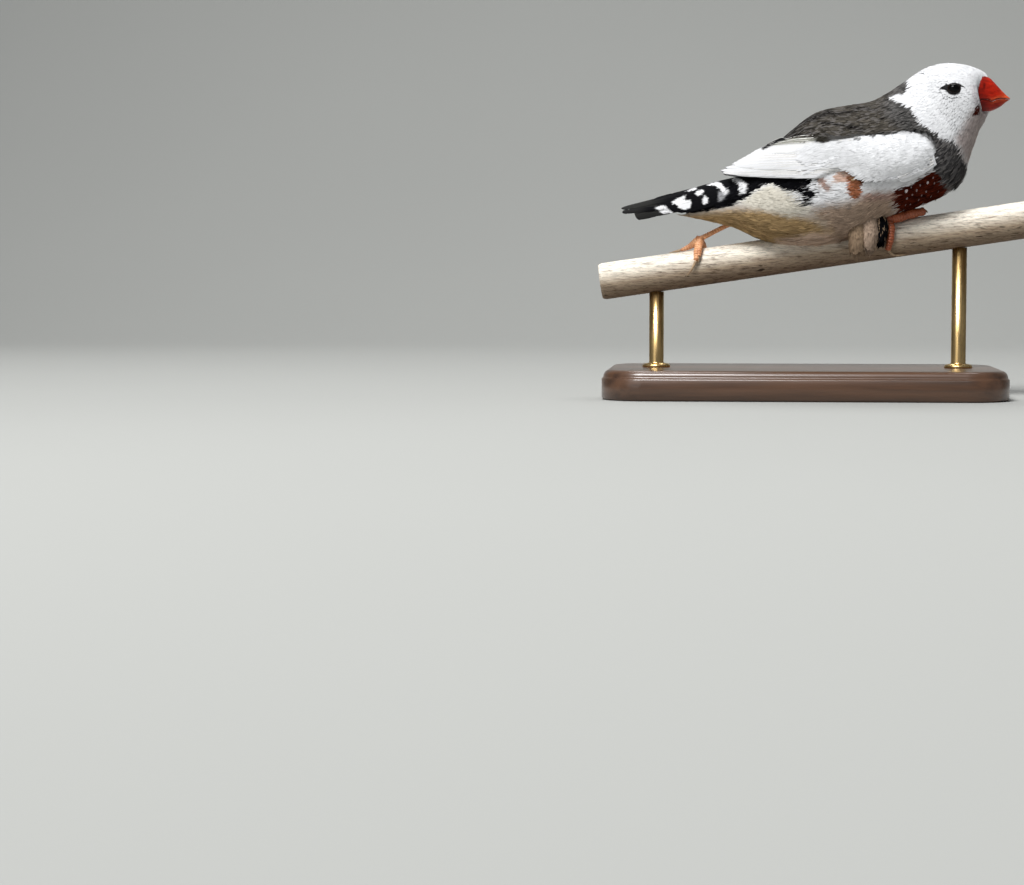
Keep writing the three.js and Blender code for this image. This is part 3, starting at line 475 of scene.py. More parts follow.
def through(rows, t):
    """A smooth line that passes row i at t = i, and goes on straight beyond its ends."""
    rows = np.asarray(rows, float)
    t = np.asarray(t, float)
    ends = np.vstack([2 * rows[0] - rows[1], rows, 2 * rows[-1] - rows[-2]])
    i = np.clip(np.floor(t).astype(int), 0, len(rows) - 2)
    a, b, c, d = (ends[i + k] for k in range(4))
    u = np.clip(t - i, 0.0, 1.0)[..., None]
    past = (t - i - u[..., 0])[..., None]
    point = (2 * b + (c - a) * u + (2 * a - 5 * b + 4 * c - d) * u ** 2
             + (3 * b - a - 3 * c + d) * u ** 3) / 2
    slope = ((c - a) + 2 * (2 * a - 5 * b + 4 * c - d) * u + 3 * (3 * b - a - 3 * c + d) * u ** 2) / 2
    return point + slope * past


class Shell:
    """A body swept through cross-sections: t counts them, and a turns from the right side over the top."""

    lie = -1.0
    STEP = 1e-3

    def __init__(self, sections):
        self.rows = np.array([[*top, *bottom, half] for top, bottom, half in sections], float)
        self.last = len(sections) - 1

    def section(self, t):
        """The middle of a cross-section, the way from there to its upper point, and half its width."""
        row = through(self.rows, t)
        return (row[..., 0:2] + row[..., 2:4]) / 2, (row[..., 0:2] - row[..., 2:4]) / 2, row[..., 4]

    def surface(self, t, a):
        centre, upward, half = self.section(t)
        rise = rounded(np.sin(a))
        return np.stack([centre[..., 0] + rise * upward[..., 0], -rounded(np.cos(a)) * half,
                         centre[..., 1] + rise * upward[..., 1]], -1)

    def slopes(self, t, a):
        """How the surface's point moves with t and with a."""
        along = (self.surface(t + self.STEP, a) - self.surface(t - self.STEP, a)) / (2 * self.STEP)
        around = (self.surface(t, a + self.STEP) - self.surface(t, a - self.STEP)) / (2 * self.STEP)
        return along, around

    def outward(self, t, a):
        return unit(np.cross(*self.slopes(t, a)))

    def at(self, t, a, height=0.0):
        t, a = np.broadcast_arrays(np.asarray(t, float), np.asarray(a, float))
        return self.surface(t, a) + self.outward(t, a) * np.asarray(height)[..., None]

    def site(self, x, z):
        """The t and the right side's a that a side view shows at x, z."""
        x, z = np.broadcast_arrays(np.asarray(x, float), np.asarray(z, float))
        low = np.zeros_like(x)
        high = np.full_like(x, self.last)
        for _ in range(24):
            t = (low + high) / 2
            centre, upward = self.section(t)[:2]
            rise = (z - centre[..., 1]) / upward[..., 1]
            before = centre[..., 0] + rise * upward[..., 0] < x
            low = np.where(before, t, low)
            high = np.where(before, high, t)
        return low, np.arcsin(rounded(np.clip(rise, -1, 1), ROUNDNESS / 2))

    def shift(self, t, a, way):
        """The t and a reached from a site by going along a vector over the surface."""
        along, around = self.slopes(t, a)
        ll, lu, uu = ((p * q).sum(-1) for p, q in ((along, along), (along, around), (around, around)))
        wl, wu = (way * along).sum(-1), (way * around).sum(-1)
        scale = ll * uu - lu * lu
        return t + (wl * uu - wu * lu) / scale, a + (wu * ll - wl * lu) / scale

    def tip(self, t, a, reach):
        """Where a feather that reaches this far back from its root ends."""
        return self.surface(*self.shift(t, a, -unit(self.slopes(t, a)[0]) * reach))


class Trunk(Shell):
    """The trunk, its chin and forehead drawn forward under and over the bill."""

    def surface(self, t, a):
        point = super().surface(t, a)
        for middle, spread, *lines in ((-np.pi / 2, CHIN_SPREAD, CHIN_FORWARD, CHIN_UP),
                                       (np.pi / 2, BROW_SPREAD, BROW_FORWARD, BROW_UP)):
            away = (a - middle + np.pi) % (2 * np.pi) - np.pi
            share = np.exp(-(away / spread) ** 4)
            forward, up = (follow(rows, t) for rows in lines)
            point = point + np.stack([share * forward, 0 * share, share * up], -1)
        return point


class Shoulder(Shell):
    """The wing's bed with the swelling of its muscled front."""

    def surface(self, t, a):
        flat = super().surface(t, a)
        side = side_view(flat)
        fade = np.interp(side[..., 0], (-5, 14), (0.15, 1.0))
        swell = 0.6 + WING_SWELL * smooth_step(-1.5, 4.5, inside(side, WING_FRONT)) * fade
        bulge = unit(flat * np.array([0.0, 1.0, 0.0]))
        return flat + bulge * swell[..., None]


class Limb(Shell):
    """A round limb along a line, with its radii from end to end: t runs from 0 to 1 at its far end."""

    lie = 1.0
    last = 1.0

    def __init__(self, line, radii):
        self.line = route(line, 48)
        self.radii = radii
        self.tangents = unit(np.gradient(self.line, axis=0))
        self.sides = unit(np.cross(self.tangents, [0.0, 1.0, 0.05]))
        self.fronts = np.cross(self.sides, self.tangents)

    def surface(self, t, a):
        place = np.asarray(t) * (len(self.line) - 1)
        centre, side, front = (through(rows, place) for rows in (self.line, self.sides, self.fronts))
        radius = through(np.array(self.radii, float)[:, None], np.asarray(t) * (len(self.radii) - 1))
        return centre + radius * (side * np.cos(a)[..., None] + front * np.sin(a)[..., None])


def route(points, count):
    """Evenly spaced points of a smooth line through given ones, which doesn't swing wide between them."""
    p = np.asarray(points, float)
    p = np.vstack([2 * p[0] - p[1], p, 2 * p[-1] - p[-2]])
    gap = np.linalg.norm(np.diff(p, axis=0), axis=1) ** 0.5
    u = np.linspace(0, 1, 24, endpoint=False)[:, None]
    fine = []
    for k in range(1, len(p) - 2):
        a, b, c, d = p[k - 1:k + 3]
        ga, gb, gc = gap[k - 1:k + 2]
        leave = ((b - a) / ga - (c - a) / (ga + gb) + (c - b) / gb) * gb
        reach = ((c - b) / gb - (d - b) / (gb + gc) + (d - c) / gc) * gb
        fine.append((2 * b - 2 * c + leave + reach) * u ** 3 + (3 * c - 3 * b - 2 * leave - reach) * u ** 2
                    + leave * u + b)
    fine = np.vstack([*fine, p[-2]])
    far = run(fine)
    return pick(np.linspace(0, far[-1], count), far, fine)


def run(line):
    """How far along a line each of its points lies."""
    return np.concatenate([[0], np.cumsum(np.linalg.norm(np.diff(line, axis=0), axis=1))])


def pick(places, far, rows):
    """Rows of three numbers for places along a line, from those of its points."""
    return np.stack([np.interp(places, far, rows[:, i]) for i in range(3)], -1)


def facing_out(points, faces):
    a, b, c = (points[faces[:, k]] for k in range(3))
    volume = (a * np.cross(b, c)).sum()
    return faces if volume > 0 else faces[:, ::-1]


def cells(rows, columns, closed=False):
    """Two triangles for each cell of a grid of points, whose rows may be closed rings."""
    i, j = np.meshgrid(np.arange(rows - 1), np.arange(columns if closed else columns - 1), indexing="ij")
    a = (i * columns + j).ravel()
    b = (i * columns + (j + 1) % columns).ravel()
    return np.vstack([np.stack([a, b, b + columns], -1), np.stack([a, b + columns, a + columns], -1)])


def loft(rings):
    """A closed surface through rings of equally many points, with a fan over each end."""
    count, sides = rings.shape[:2]
    points = np.vstack([rings.reshape(-1, 3), rings[0].mean(0), rings[-1].mean(0)])
    ring = np.arange(sides)
    following = np.roll(ring, -1)
    end, pole = (count - 1) * sides, count * sides
    fans = [np.stack([np.full(sides, pole), following, ring], -1),
            np.stack([np.full(sides, pole + 1), end + ring, end + following], -1)]
    return points, facing_out(points, np.vstack([cells(count, sides, closed=True), *fans]))


def plate(top, under):
    """A closed sheet between two grids of points."""
    rows, columns = top.shape[:2]
    size = rows * columns
    points = np.vstack([top.reshape(-1, 3), under.reshape(-1, 3)])
    upper = cells(rows, columns)
    grid = np.arange(size).reshape(rows, columns)
    rim = np.concatenate([grid[0, :-1], grid[:-1, -1], grid[-1, :0:-1], grid[:0:-1, 0]])
    ahead = np.roll(rim, -1)
    walls = [np.stack([ahead, rim, rim + size], -1), np.stack([ahead, rim + size, ahead + size], -1)]
    return points, facing_out(points, np.vstack([upper, upper[:, ::-1] + size, *walls]))


def tube(line, radius, sides=12):
    """Rings of points round a line, at the radii given for it."""
    tangents = unit(np.gradient(line, axis=0))
    side = unit(np.cross(tangents[0], [0.31, 0.22, 0.93]))
    turn = turns(sides)
    rings = []
    for centre, tangent, r in zip(line, tangents, np.broadcast_to(radius, len(line))):
        side = unit(side - tangent * (side * tangent).sum())
        front = np.cross(tangent, side)
        rings.append(centre + r * (np.cos(turn)[:, None] * side + np.sin(turn)[:, None] * front))
    return np.array(rings)


def on_perch(along, turn, height):
    """A point over the perch, in the bird's frame."""
    angle = math.radians(turn)
    reach = PERCH_RADIUS + height
    x, z = along, math.cos(angle) * reach
    cos, sin = math.cos(PERCH_SLOPE), math.sin(PERCH_SLOPE)
    return np.array([x * cos - z * sin, PERCH_SIDE - math.sin(angle) * reach, x * sin + z * cos])


# Meshes

class Heap:
    """Gathers closed shapes for one mesh, with colours and maps for each of their points."""

    def __init__(self):
        self.points, self.faces, self.layers = [], [], {}
        self.count = 0

    def add(self, points, faces, **layers):
        self.points.append(points)
        self.faces.append(faces + self.count)
        self.count += len(points)
        for name, values in layers.items():
            self.layers.setdefault(name, []).append(values)

    def piece(self, name, material):
        return mesh_piece(name, np.vstack(self.points), np.vstack(self.faces), material,
                          **{key: np.vstack(values) for key, values in self.layers.items()})


def link(piece):
    bpy.context.scene.collection.objects.link(piece)
    return piece


def corners(mesh):
    """The point that each corner of a mesh's faces stands on."""
    points = np.empty(len(mesh.loops), np.int32)
    mesh.loops.foreach_get("vertex_index", points)
    return points


def set_map(mesh, name, uv):
    mesh.uv_layers.new(name=name).data.foreach_set("uv", uv.astype(np.float32).ravel())


def set_colours(mesh, colours):
    """Gives each point of a mesh its colour."""
    rgba = np.ones((len(colours), 4), np.float32)
    rgba[:, :3] = np.clip(colours, 0, 1)
    mesh.color_attributes.new("plumage", "FLOAT_COLOR", "POINT").data.foreach_set("color", rgba.ravel())


def mesh_piece(name, points, faces, material, plumage=None, **maps):
    """An object from points in the bird's frame, with a colour and any maps given for each point."""
    mesh = bpy.data.meshes.new(name)
    mesh.vertices.add(len(points))
    mesh.vertices.foreach_set("co", in_place(points).astype(np.float32).ravel())
    mesh.loops.add(faces.size)
    mesh.loops.foreach_set("vertex_index", faces.astype(np.int32).ravel())
    mesh.polygons.add(len(faces))
    mesh.polygons.foreach_set("loop_start", np.arange(0, faces.size, 3, dtype=np.int32))
    mesh.update(calc_edges=True)
    mesh.validate()
    mesh.shade_smooth()
    if plumage is not None:
        set_colours(mesh, plumage)
    for key, values in maps.items():
        set_map(mesh, key, values[corners(mesh)])
    mesh.materials.append(material)
    return link(bpy.data.objects.new(name, mesh))


def dress(piece, slot, *nodes):
    """Lets a finished piece ride on the model, and hides the solids that it stands for. Its slot is not used.
    """
    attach(piece, "root")
    if nodes:
        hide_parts(*nodes)
    return piece


class Nodes:
    """A node tree under construction."""

    def add(self, kind, inputs=None, **settings):
        """The outputs of a new node, whose inputs are linked to sockets or set to values."""
        node = self.tree.nodes.new(kind if kind.startswith(("Geometry", "Function")) else "ShaderNode" + kind)
        for key, value in settings.items():
            setattr(node, key, value)
        for key, value in (inputs or {}).items():
            if isinstance(value, bpy.types.NodeSocket):
                self.tree.links.new(value, node.inputs[key])
            else:
                node.inputs[key].default_value = value
        return node.outputs

    def math(self, operation, *values):
        return self.add("Math", dict(enumerate(values)), operation=operation)["Value"]

    def vector(self, operation, *values, result="Vector"):
        return self.add("VectorMath", dict(enumerate(values)), operation=operation)[result]


class Recipe(Nodes):
    """A geometry node tree, which ends in real meshes of one material."""

    def __init__(self, name, **inputs):
        self.tree = bpy.data.node_groups.new(name, "GeometryNodeTree")
        face = self.tree.interface
        face.new_socket("Geometry", in_out="INPUT", socket_type="NodeSocketGeometry")
        for label, kind in inputs.items():
            face.new_socket(label, in_out="INPUT", socket_type="NodeSocket" + kind)
        face.new_socket("Geometry", in_out="OUTPUT", socket_type="NodeSocketGeometry")
        self.source = self.tree.nodes.new("NodeGroupInput").outputs

    def field(self, name, kind):
        return self.add("GeometryNodeInputNamedAttribute", {"Name": name}, data_type=kind)["Attribute"]

    def end(self, geometry):
        """Ends the tree with real, smooth meshes in its material."""
        material = self.source["Material"]
        real = self.add("GeometryNodeRealizeInstances", {"Geometry": geometry})[0]
        smooth = self.add("GeometryNodeSetShadeSmooth", {"Geometry": real})[0]
        dressed = self.add("GeometryNodeSetMaterial", {"Geometry": smooth, "Material": material})
        result = self.tree.nodes.new("NodeGroupOutput")
        self.tree.links.new(dressed[0], result.inputs["Geometry"])
        return self

    def end_on_points(self, instance, **settings):
        """Ends the tree with an instance on each point of the mesh."""
        inputs = {"Points": self.source["Geometry"], "Instance": instance, **settings}
        return self.end(self.add("GeometryNodeInstanceOnPoints", inputs)["Instances"])

    def align(self, axis, inputs, **settings):
        """A rotation that turns an axis to a vector."""
        return self.add("FunctionNodeAlignRotationToVector", inputs, axis=axis, **settings)["Rotation"]

    def scaled(self, vector, factor):
        return self.add("VectorMath", {0: vector, "Scale": factor}, operation="SCALE")["Vector"]

    def grow(self, name, mesh, **values):
        """The plain mesh that the tree makes of a mesh, as a new object."""
        carrier = link(bpy.data.objects.new(name + "_carrier", mesh))
        modifier = carrier.modifiers.new("Growth", "NODES")
        modifier.node_group = self.tree
        for item in self.tree.interface.items_tree:
            if item.in_out == "INPUT" and item.name in values:
                modifier[item.identifier] = values[item.name]
        graph = bpy.context.evaluated_depsgraph_get()
        made = bpy.data.meshes.new_from_object(carrier.evaluated_get(graph), depsgraph=graph)
        made.name = name
        if not made.polygons:
            raise RuntimeError(f"{name} came out empty")
        carrier.modifiers.remove(modifier)
        bpy.data.objects.remove(carrier)
        return link(bpy.data.objects.new(name, made))


def seeds(name, points, edges=(), **fields):
    """A bare mesh of points for a recipe, with named vectors and numbers on them."""
    mesh = bpy.data.meshes.new(name)
    mesh.from_pydata(in_place(points).tolist(), [tuple(e) for e in edges], [])
    for key, values in fields.items():
        values = np.asarray(values, np.float32)
        kind, slot = ("FLOAT_VECTOR", "vector") if values.ndim == 2 else ("FLOAT", "value")
        mesh.attributes.new(key, kind, "POINT").data.foreach_set(slot, values.ravel())
    return mesh


# Materials

def rgba(tone):
    """An opaque colour from one or three numbers; a socket stays as it is."""
    return tone if isinstance(tone, bpy.types.NodeSocket) else (*np.broadcast_to(tone, 3), 1.0)


class Finish(Nodes):
    """A material. Numbers that are the same all over are set on the shader's own sockets."""

    def __init__(self, name, **sockets):
        self.material = bpy.data.materials.new(name)
        self.material.use_nodes = True
        self.tree = self.material.node_tree
        self.shader = self.tree.nodes["Principled BSDF"]
        for key, value in sockets.items():
            self.shader.inputs[key.replace("_", " ")].default_value = value

    def tint(self):
        """The colour that the mesh's points carry."""
        return self.add("Attribute", attribute_name="plumage")["Color"]

    def place(self, scale=(1, 1, 1), turn=(0, 0, 0)):
        """Coordinates on the piece, stretched by a scale."""
        source = self.add("TexCoord")["Object"]
        return self.add("Mapping", {"Vector": source, "Scale": scale, "Rotation": turn})["Vector"]

    def noise(self, where, scale, detail=3.0, rough=0.5):
        inputs = {"Vector": where, "Scale": scale, "Detail": detail, "Roughness": rough}
        return self.add("TexNoise", inputs)["Fac"]

    def ramp(self, value, *stops):
        """A tone for each value, from stops of a place and one or three numbers."""
        colour = self.add("ValToRGB", {"Fac": value})["Color"]
        band = colour.node.color_ramp
        while len(band.elements) < len(stops):
            band.elements.new(0.5)
        for element, (place, tone) in zip(band.elements, stops):
            element.position = place
            element.color = rgba(tone)
        return colour

    def mix(self, share, first, second, blend_type="MIX"):
        return self.add("Mix", {0: share, 6: rgba(first), 7: rgba(second)}, data_type="RGBA",
                        blend_type=blend_type)[2]

    def multiply(self, tone, *shades):
        for shade in shades:
            tone = self.mix(1.0, tone, shade, "MULTIPLY")
        return tone

    def wear(self, colour=None, roughness=None, relief=None, height=0.0001, strength=0.5):
        """Joins what varies over the surface to the shader."""
        if colour is not None:
            self.tree.links.new(colour, self.shader.inputs["Base Color"])
        if roughness is not None:
            self.tree.links.new(roughness, self.shader.inputs["Roughness"])
        if relief is not None:
            bump = self.add("Bump", {"Height": relief, "Distance": height, "Strength": strength})
            self.tree.links.new(bump["Normal"], self.shader.inputs["Normal"])
        return self.material


def shared(name, make):
    """A material that several steps use, made by the first of them."""
    return bpy.data.materials.get(name) or make(name)


def plumage_finish(name):
    f = Finish(name, Roughness=0.9, Specular_IOR_Level=0.02)
    where = f.place()
    cloud = f.ramp(f.noise(where, 420.0), (0.3, 0.9), (0.7, 1.0))
    fine = f.noise(where, 2600.0, 2.0)
    return f.wear(f.multiply(f.tint(), cloud), relief=fine, height=0.00008, strength=0.2)


def vane_finish(name):
    f = Finish(name, Roughness=0.7, Specular_IOR_Level=0.03)
    parts = f.add("SeparateXYZ", {"Vector": f.add("UVMap", uv_map="Vane")["UV"]})
    lean = f.math("MULTIPLY_ADD", f.math("ABSOLUTE", parts["X"]), -0.9, parts["Y"])
    barb = f.add("CombineXYZ", {"X": parts["X"], "Y": lean})["Vector"]
    combed = f.add("Mapping", {"Vector": barb, "Scale": (0.5, 4.0, 1.0)})["Vector"]
    strands = f.noise(combed, 3.2, 4.0, 0.6)
    shade = f.ramp(strands, (0.3, 0.9), (0.6, 1.0))
    return f.wear(f.multiply(f.tint(), shade), relief=strands, height=0.00008, strength=0.2)


def grained_finish(name, scale, detail, low, high, height=None, **sockets):
    """A finish whose tone follows a grain, which may also stand out."""
    f = Finish(name, **sockets)
    grain = f.noise(f.place(), scale, detail)
    relief = {"relief": grain, "height": height} if height else {}
    return f.wear(f.ramp(grain, low, high), **relief)


def shaft_finish(name):
    return grained_finish(name, 900.0, 3.0, (0.3, (0.62, 0.60, 0.56)), (0.7, (0.78, 0.77, 0.74)),
                          Roughness=0.45)


def eye_finish(settings, centre, outward):
    f = Finish("Eye", Roughness=0.05, Specular_IOR_Level=0.1)
    source = f.add("TexCoord")["Object"]
    level = f.vector("DOT_PRODUCT", f.vector("SUBTRACT", source, centre), outward, result="Value")
    streaks = f.noise(source, 5000.0)
    waver = f.math("MULTIPLY_ADD", streaks, 0.00012, level)
    share = f.add("MapRange", {"Value": waver, "From Min": 0.00132, "From Max": 0.00185})["Result"]
    iris = f.ramp(streaks, (0.3, (0.004, 0.002, 0.001)), (0.7, settings.iris))
    pupil = (0.002, 0.002, 0.002)
    return f.wear(f.mix(f.ramp(share, (0.25, 0.0), (0.4, 1.0)), iris, pupil))


def lid_finish():
    dark, light = (0.006, 0.006, 0.007), (0.022, 0.021, 0.022)
    return grained_finish("Eyelids", 4000.0, 3.0, (0.35, dark), (0.65, light), 0.00006, Roughness=0.7,
                          Specular_IOR_Level=0.08)


def bill_finish():
    f = Finish("Bill horn", Roughness=0.46, Specular_IOR_Level=0.12, Coat_Weight=0.02, Coat_Roughness=0.3,
               Subsurface_Weight=0.1, Subsurface_Radius=(0.002, 0.0006, 0.0003), Subsurface_Scale=0.5)
    grain = f.noise(f.place(scale=(1.0, 1.0, 3.2)), 520.0, 4.0, 0.6)
    growth = f.noise(f.place(scale=(3.0, 0.6, 0.6)), 800.0, 2.0)
    tone = f.mix(0.8, f.tint(), f.ramp(grain, (0.36, 0.5), (0.62, 1.0)), "MULTIPLY")
    return f.wear(tone, f.ramp(grain, (0.3, 0.46), (0.7, 0.3)), growth, 0.00012, 0.35)


def leg_tones(settings, side):
    # Each side's copy of the leg colours, the front foot's darkened as painted shade
    return [np.array(tone) * LEG_SHADES[side] for tone in (settings.deep, settings.scale)]


def leg_finish(settings, side):
    deep, scale = leg_tones(settings, side)
    f = Finish(f"Leg scales {side}", Roughness=0.5, Coat_Weight=0.1, Coat_Roughness=0.4)
    where = f.place()
    cell = f.add("TexVoronoi", {"Vector": where, "Scale": 1500.0}, feature="DISTANCE_TO_EDGE")["Distance"]
    crease = f.ramp(cell, (0.0, 0.0), (0.14, 1.0))
    blotch = f.ramp(f.noise(where, 500.0), (0.35, deep), (0.65, scale))
    return f.wear(f.mix(crease, deep, blotch), relief=crease, height=0.00005, strength=0.6)


def scute_finish(settings, side):
    deep, scale = leg_tones(settings, side)
    f = Finish(f"Leg scutes {side}", Roughness=0.42, Coat_Weight=0.15, Coat_Roughness=0.35)
    where = f.place()
    tone = f.ramp(f.noise(where, 420.0), (0.25, deep), (0.55, scale))
    return f.wear(tone, relief=f.noise(where, 1400.0), height=0.00005, strength=0.5)


def claw_finish(settings):
    return grained_finish("Claw horn", 1100.0, 3.0, (0.3, (0.22, 0.14, 0.08)), (0.7, settings.claw), 0.00004,
                          Roughness=0.35, Coat_Weight=0.2, Coat_Roughness=0.2)


def perch_finish(settings):
    f = Finish("Perch wood", Roughness=0.7, Specular_IOR_Level=0.2)
    slope = (0, PERCH_SLOPE, 0)
    lengthwise = f.place(scale=(0.09, 1.0, 1.0), turn=slope)
    broad = f.noise(lengthwise, 1600.0, 7.0, 0.78)
    fine = f.noise(lengthwise, 5200.0, 3.0, 0.6)
    pits = f.noise(f.place(scale=(0.16, 1.0, 1.0), turn=slope), 1700.0, 2.0)
    offset = f.vector("SUBTRACT", f.add("TexCoord")["Object"], in_place((0.0, PERCH_SIDE, 0.0)))
    above = (-math.sin(PERCH_SLOPE), 0.0, math.cos(PERCH_SLOPE))
    level = f.vector("DOT_PRODUCT", offset, above, result="Value")
    reach = PERCH_RADIUS * MM
    level = f.add("MapRange", {"Value": level, "From Min": -reach, "From Max": reach})["Result"]
    pale = [min(1.0, 1.3 * c) for c in settings.wood]
    tone = f.ramp(broad, (0.32, settings.grain), (0.46, settings.wood), (0.6, pale))
    streaks = f.ramp(fine, (0.34, 0.55), (0.5, 1.0))
    # Painted shade: the wood darkens towards the perch's underside
    shade = f.ramp(level, (0.0, (0.22, 0.165, 0.125)), (0.4, (0.46, 0.385, 0.315)), (0.78, 1.0))
    low = f.ramp(level, (0.2, 1.0), (0.6, 0.35))
    hole = f.multiply(f.ramp(pits, (0.31, 1.0), (0.35, 0.0)), low)
    tone = f.mix(hole, f.multiply(tone, streaks, shade), (0.045, 0.03, 0.02))
    return f.wear(tone, relief=f.mix(0.5, broad, fine), height=0.0005, strength=0.5)


def base_finish(settings):
    f = Finish("Base wood", Roughness=0.35, Coat_Weight=0.5, Coat_Roughness=0.18)
    lengthwise = f.place(scale=(0.06, 1.0, 1.0))
    base = np.array(settings.base)
    tone = f.ramp(f.noise(lengthwise, 260.0, 5.0, 0.6), (0.3, 0.42 * base), (0.5, base), (0.75, 1.5 * base))
    return f.wear(tone, relief=f.noise(lengthwise, 1400.0), height=0.00015, strength=0.25)


def brass_finish(settings):
    f = Finish("Brass", Metallic=1.0, Roughness=0.28)
    brushed = f.noise(f.place(scale=(1.0, 1.0, 0.05)), 3000.0, 2.0)
    brass = np.array(settings.brass)
    tone = f.ramp(f.noise(f.place(), 160.0), (0.3, 0.72 * brass), (0.7, brass))
    return f.wear(tone, f.ramp(brushed, (0.3, 0.22), (0.7, 0.38)), brushed, 0.00004, 0.3)


def floor_finish(settings):
    floor = np.array(settings.floor)
    return grained_finish("Studio floor", 3.0, 2.0, (0.3, 0.97 * floor), (0.7, floor), Roughness=0.9,
                          Specular_IOR_Level=0.1)


# Markings

def seen(points):
    """Where the photograph shows the points, in its plane's millimetres; the left side is seen mirrored."""
    near = np.stack([points[..., 0], -np.abs(points[..., 1]), points[..., 2]], -1)
    local = (near - CAMERA_PLACE) @ CAMERA_AXES
    pixels = FOCAL_PIXELS * local[..., :2] / -local[..., 2:]
    start = np.array([START_PIXEL[0] - PHOTO_SIZE[0] / 2, PHOTO_SIZE[1] / 2 - START_PIXEL[1]])
    return (pixels - start) * PIXEL


def mark_share(flat, mark):
    """How much of a mark's colour points of the side view have."""
    line = np.asarray(mark.points, float)
    if mark.radius is None:
        depth = inside(flat, line)
    else:
        depth = mark.radius - segment_distance(flat, line[:-1], line[1:])
    return smooth_step(-mark.soft, mark.soft, depth)[..., None]


def segment_distance(flat, start, end):
    edge = end - start
    way = flat[..., None, :] - start
    share = np.clip((way * edge).sum(-1) / (edge ** 2).sum(-1), 0, 1)
    return np.sqrt(((way - share[..., None] * edge) ** 2).sum(-1)).min(-1)


def inside(flat, outline):
    """How far points of the side view lie inside a closed outline, below zero outside it."""
    start = np.asarray(outline, float)
    end = np.roll(start, -1, axis=0)
    near = segment_distance(flat, start, end)
    x, z = flat[..., 0, None], flat[..., 1, None]
    drop = np.where(end[:, 1] == start[:, 1], 1.0, end[:, 1] - start[:, 1])
    crosses = ((start[:, 1] > z) != (end[:, 1] > z)) & (
        x < (end[:, 0] - start[:, 0]) * (z - start[:, 1]) / drop + start[:, 0])
    return np.where(crosses.sum(-1) % 2 == 1, near, -near)


def paint(flat, ground, marks, settings, where=1.0):
    """Colours at points of the side view, the marks painted one over another."""
    colour = np.broadcast_to(np.asarray(ground, float), flat.shape[:-1] + (3,)).copy()
    for mark in marks:
        colour = blend(colour, np.array(getattr(settings, mark.colour)), mark_share(flat, mark) * where)
    return colour


def body_colours(points, stray, settings):
    """The plumage's colours at points of the body, each looked up a little way off."""
    return paint(seen(points) + stray, settings.white, BODY_MARKS, settings)


# Small feathers

# A finger of a small feather: stations of three points from its root on, and its tip
FINGER_STATIONS = np.array([0.0, 0.5, 0.82])
FINGER_TAPER = np.array([0.55, 1.0, 0.72])
FINGER_SPREAD = np.array([0.4, 0.85, 1.0, 1.06])
FINGER_THICK = 0.06
FINGER_POINTS = 10
# The point of a finger whose place decides its colour
SHOWN = 7
# How long the feathers are by the trunk's sections, as shares of the longest
BODY_SIZES = ((0, 0.55), (1, 0.9), (3, 1.05), (8, 1.0), (10.9, 0.75))
HEAD_SIZES = ((10.6, 0.72), (12, 0.58), (13.5, 0.46), (15, 0.36))
NECK_START = 8.6
SKIN_SHADE = 0.92
HEAD_SHADE = 0.93
HANGING_SHARE = 0.1
WISP_STRAY = (1.0, 0.3)
WISP_GAP = ((1.5, 13.6), (24.0, 13.6), (24.0, 26.0), (1.5, 26.0))
# How far the camera shows the flank's places from where they are
SPOT_SHIFT = (-0.2, -0.7)
# Where some feathers end in grey: an outline, its softness, the share of such feathers, and how grey they are
FRINGED = ((BREAST, 0.5, 0.35, 1.0), (MANTLE, 0.5, 0.26, 0.7), (STREAKED, 0.8, 0.22, 0.6))
FRINGE = (0.17, 0.16, 0.155)
# How far the folded wing stands out over the trunk, from its tip to its front
WING_CREST = ((-26, 0.6), (-14, 1.0), (-4, 1.3), (6, 1.6), (16, 1.9), (24, 1.9), (29, 1.4), (31, 0.8))
# The size of a feather's patch on the unrolled skin
PATCH = 0.003

def finger_faces():
    """A finger's triangles between its stations' left, ridge and right points, and which look inwards."""
    faces, under = [(0, 1, 2)], [True]
    for start in (0, 3):
        for k in range(3):
            n = (k + 1) % 3
            faces.append((start + k, start + 3 + k, start + 3 + n))
            faces.append((start + k, start + 3 + n, start + n))
            under += [k == 2, k == 2]
    faces += [(6 + k, 9, 6 + (k + 1) % 3) for k in range(3)]
    under += [False, False, True]
    return np.array(faces), np.array(under)


def coat_depth(t):
    return follow(COAT_DEPTH, t)


def all_over(shell, rings, sides):
    """The t and a of rings that cover a shell."""
    return np.meshgrid(np.linspace(0, shell.last, rings), turns(sides), indexing="ij")


def scatter(shell, start, stop, pitch, random, sizes=((0, 1.0),)):
    """Roots in staggered rows, evenly over the surface."""
    around = np.linspace(0, 2 * np.pi, 145)
    sites, angles = [], []
    t, row = start, 0
    while t < stop:
        along, _ = shell.slopes(np.full_like(around, t), around)
        reach = np.linalg.norm(along, axis=-1)
        ring = shell.surface(np.full_like(around, t), around)
        girth = run(ring)
        gap = pitch * follow(sizes, t)
        count = max(6, int(girth[-1] / gap))
        marks = (np.arange(count) + row % 2 / 2 + random.uniform(-0.3, 0.3, count)) * girth[-1] / count
        angle = np.interp(marks % girth[-1], girth, around)
        step = 0.85 * gap / reach.max()
        keep = random.random(count) < np.interp(angle, around, reach) / reach.max()
        sites.append(np.full(count, t)[keep] + random.uniform(-0.3, 0.3, keep.sum()) * step)
        angles.append(angle[keep])
        t += step
        row += 1
    return np.concatenate(sites), np.concatenate(angles)


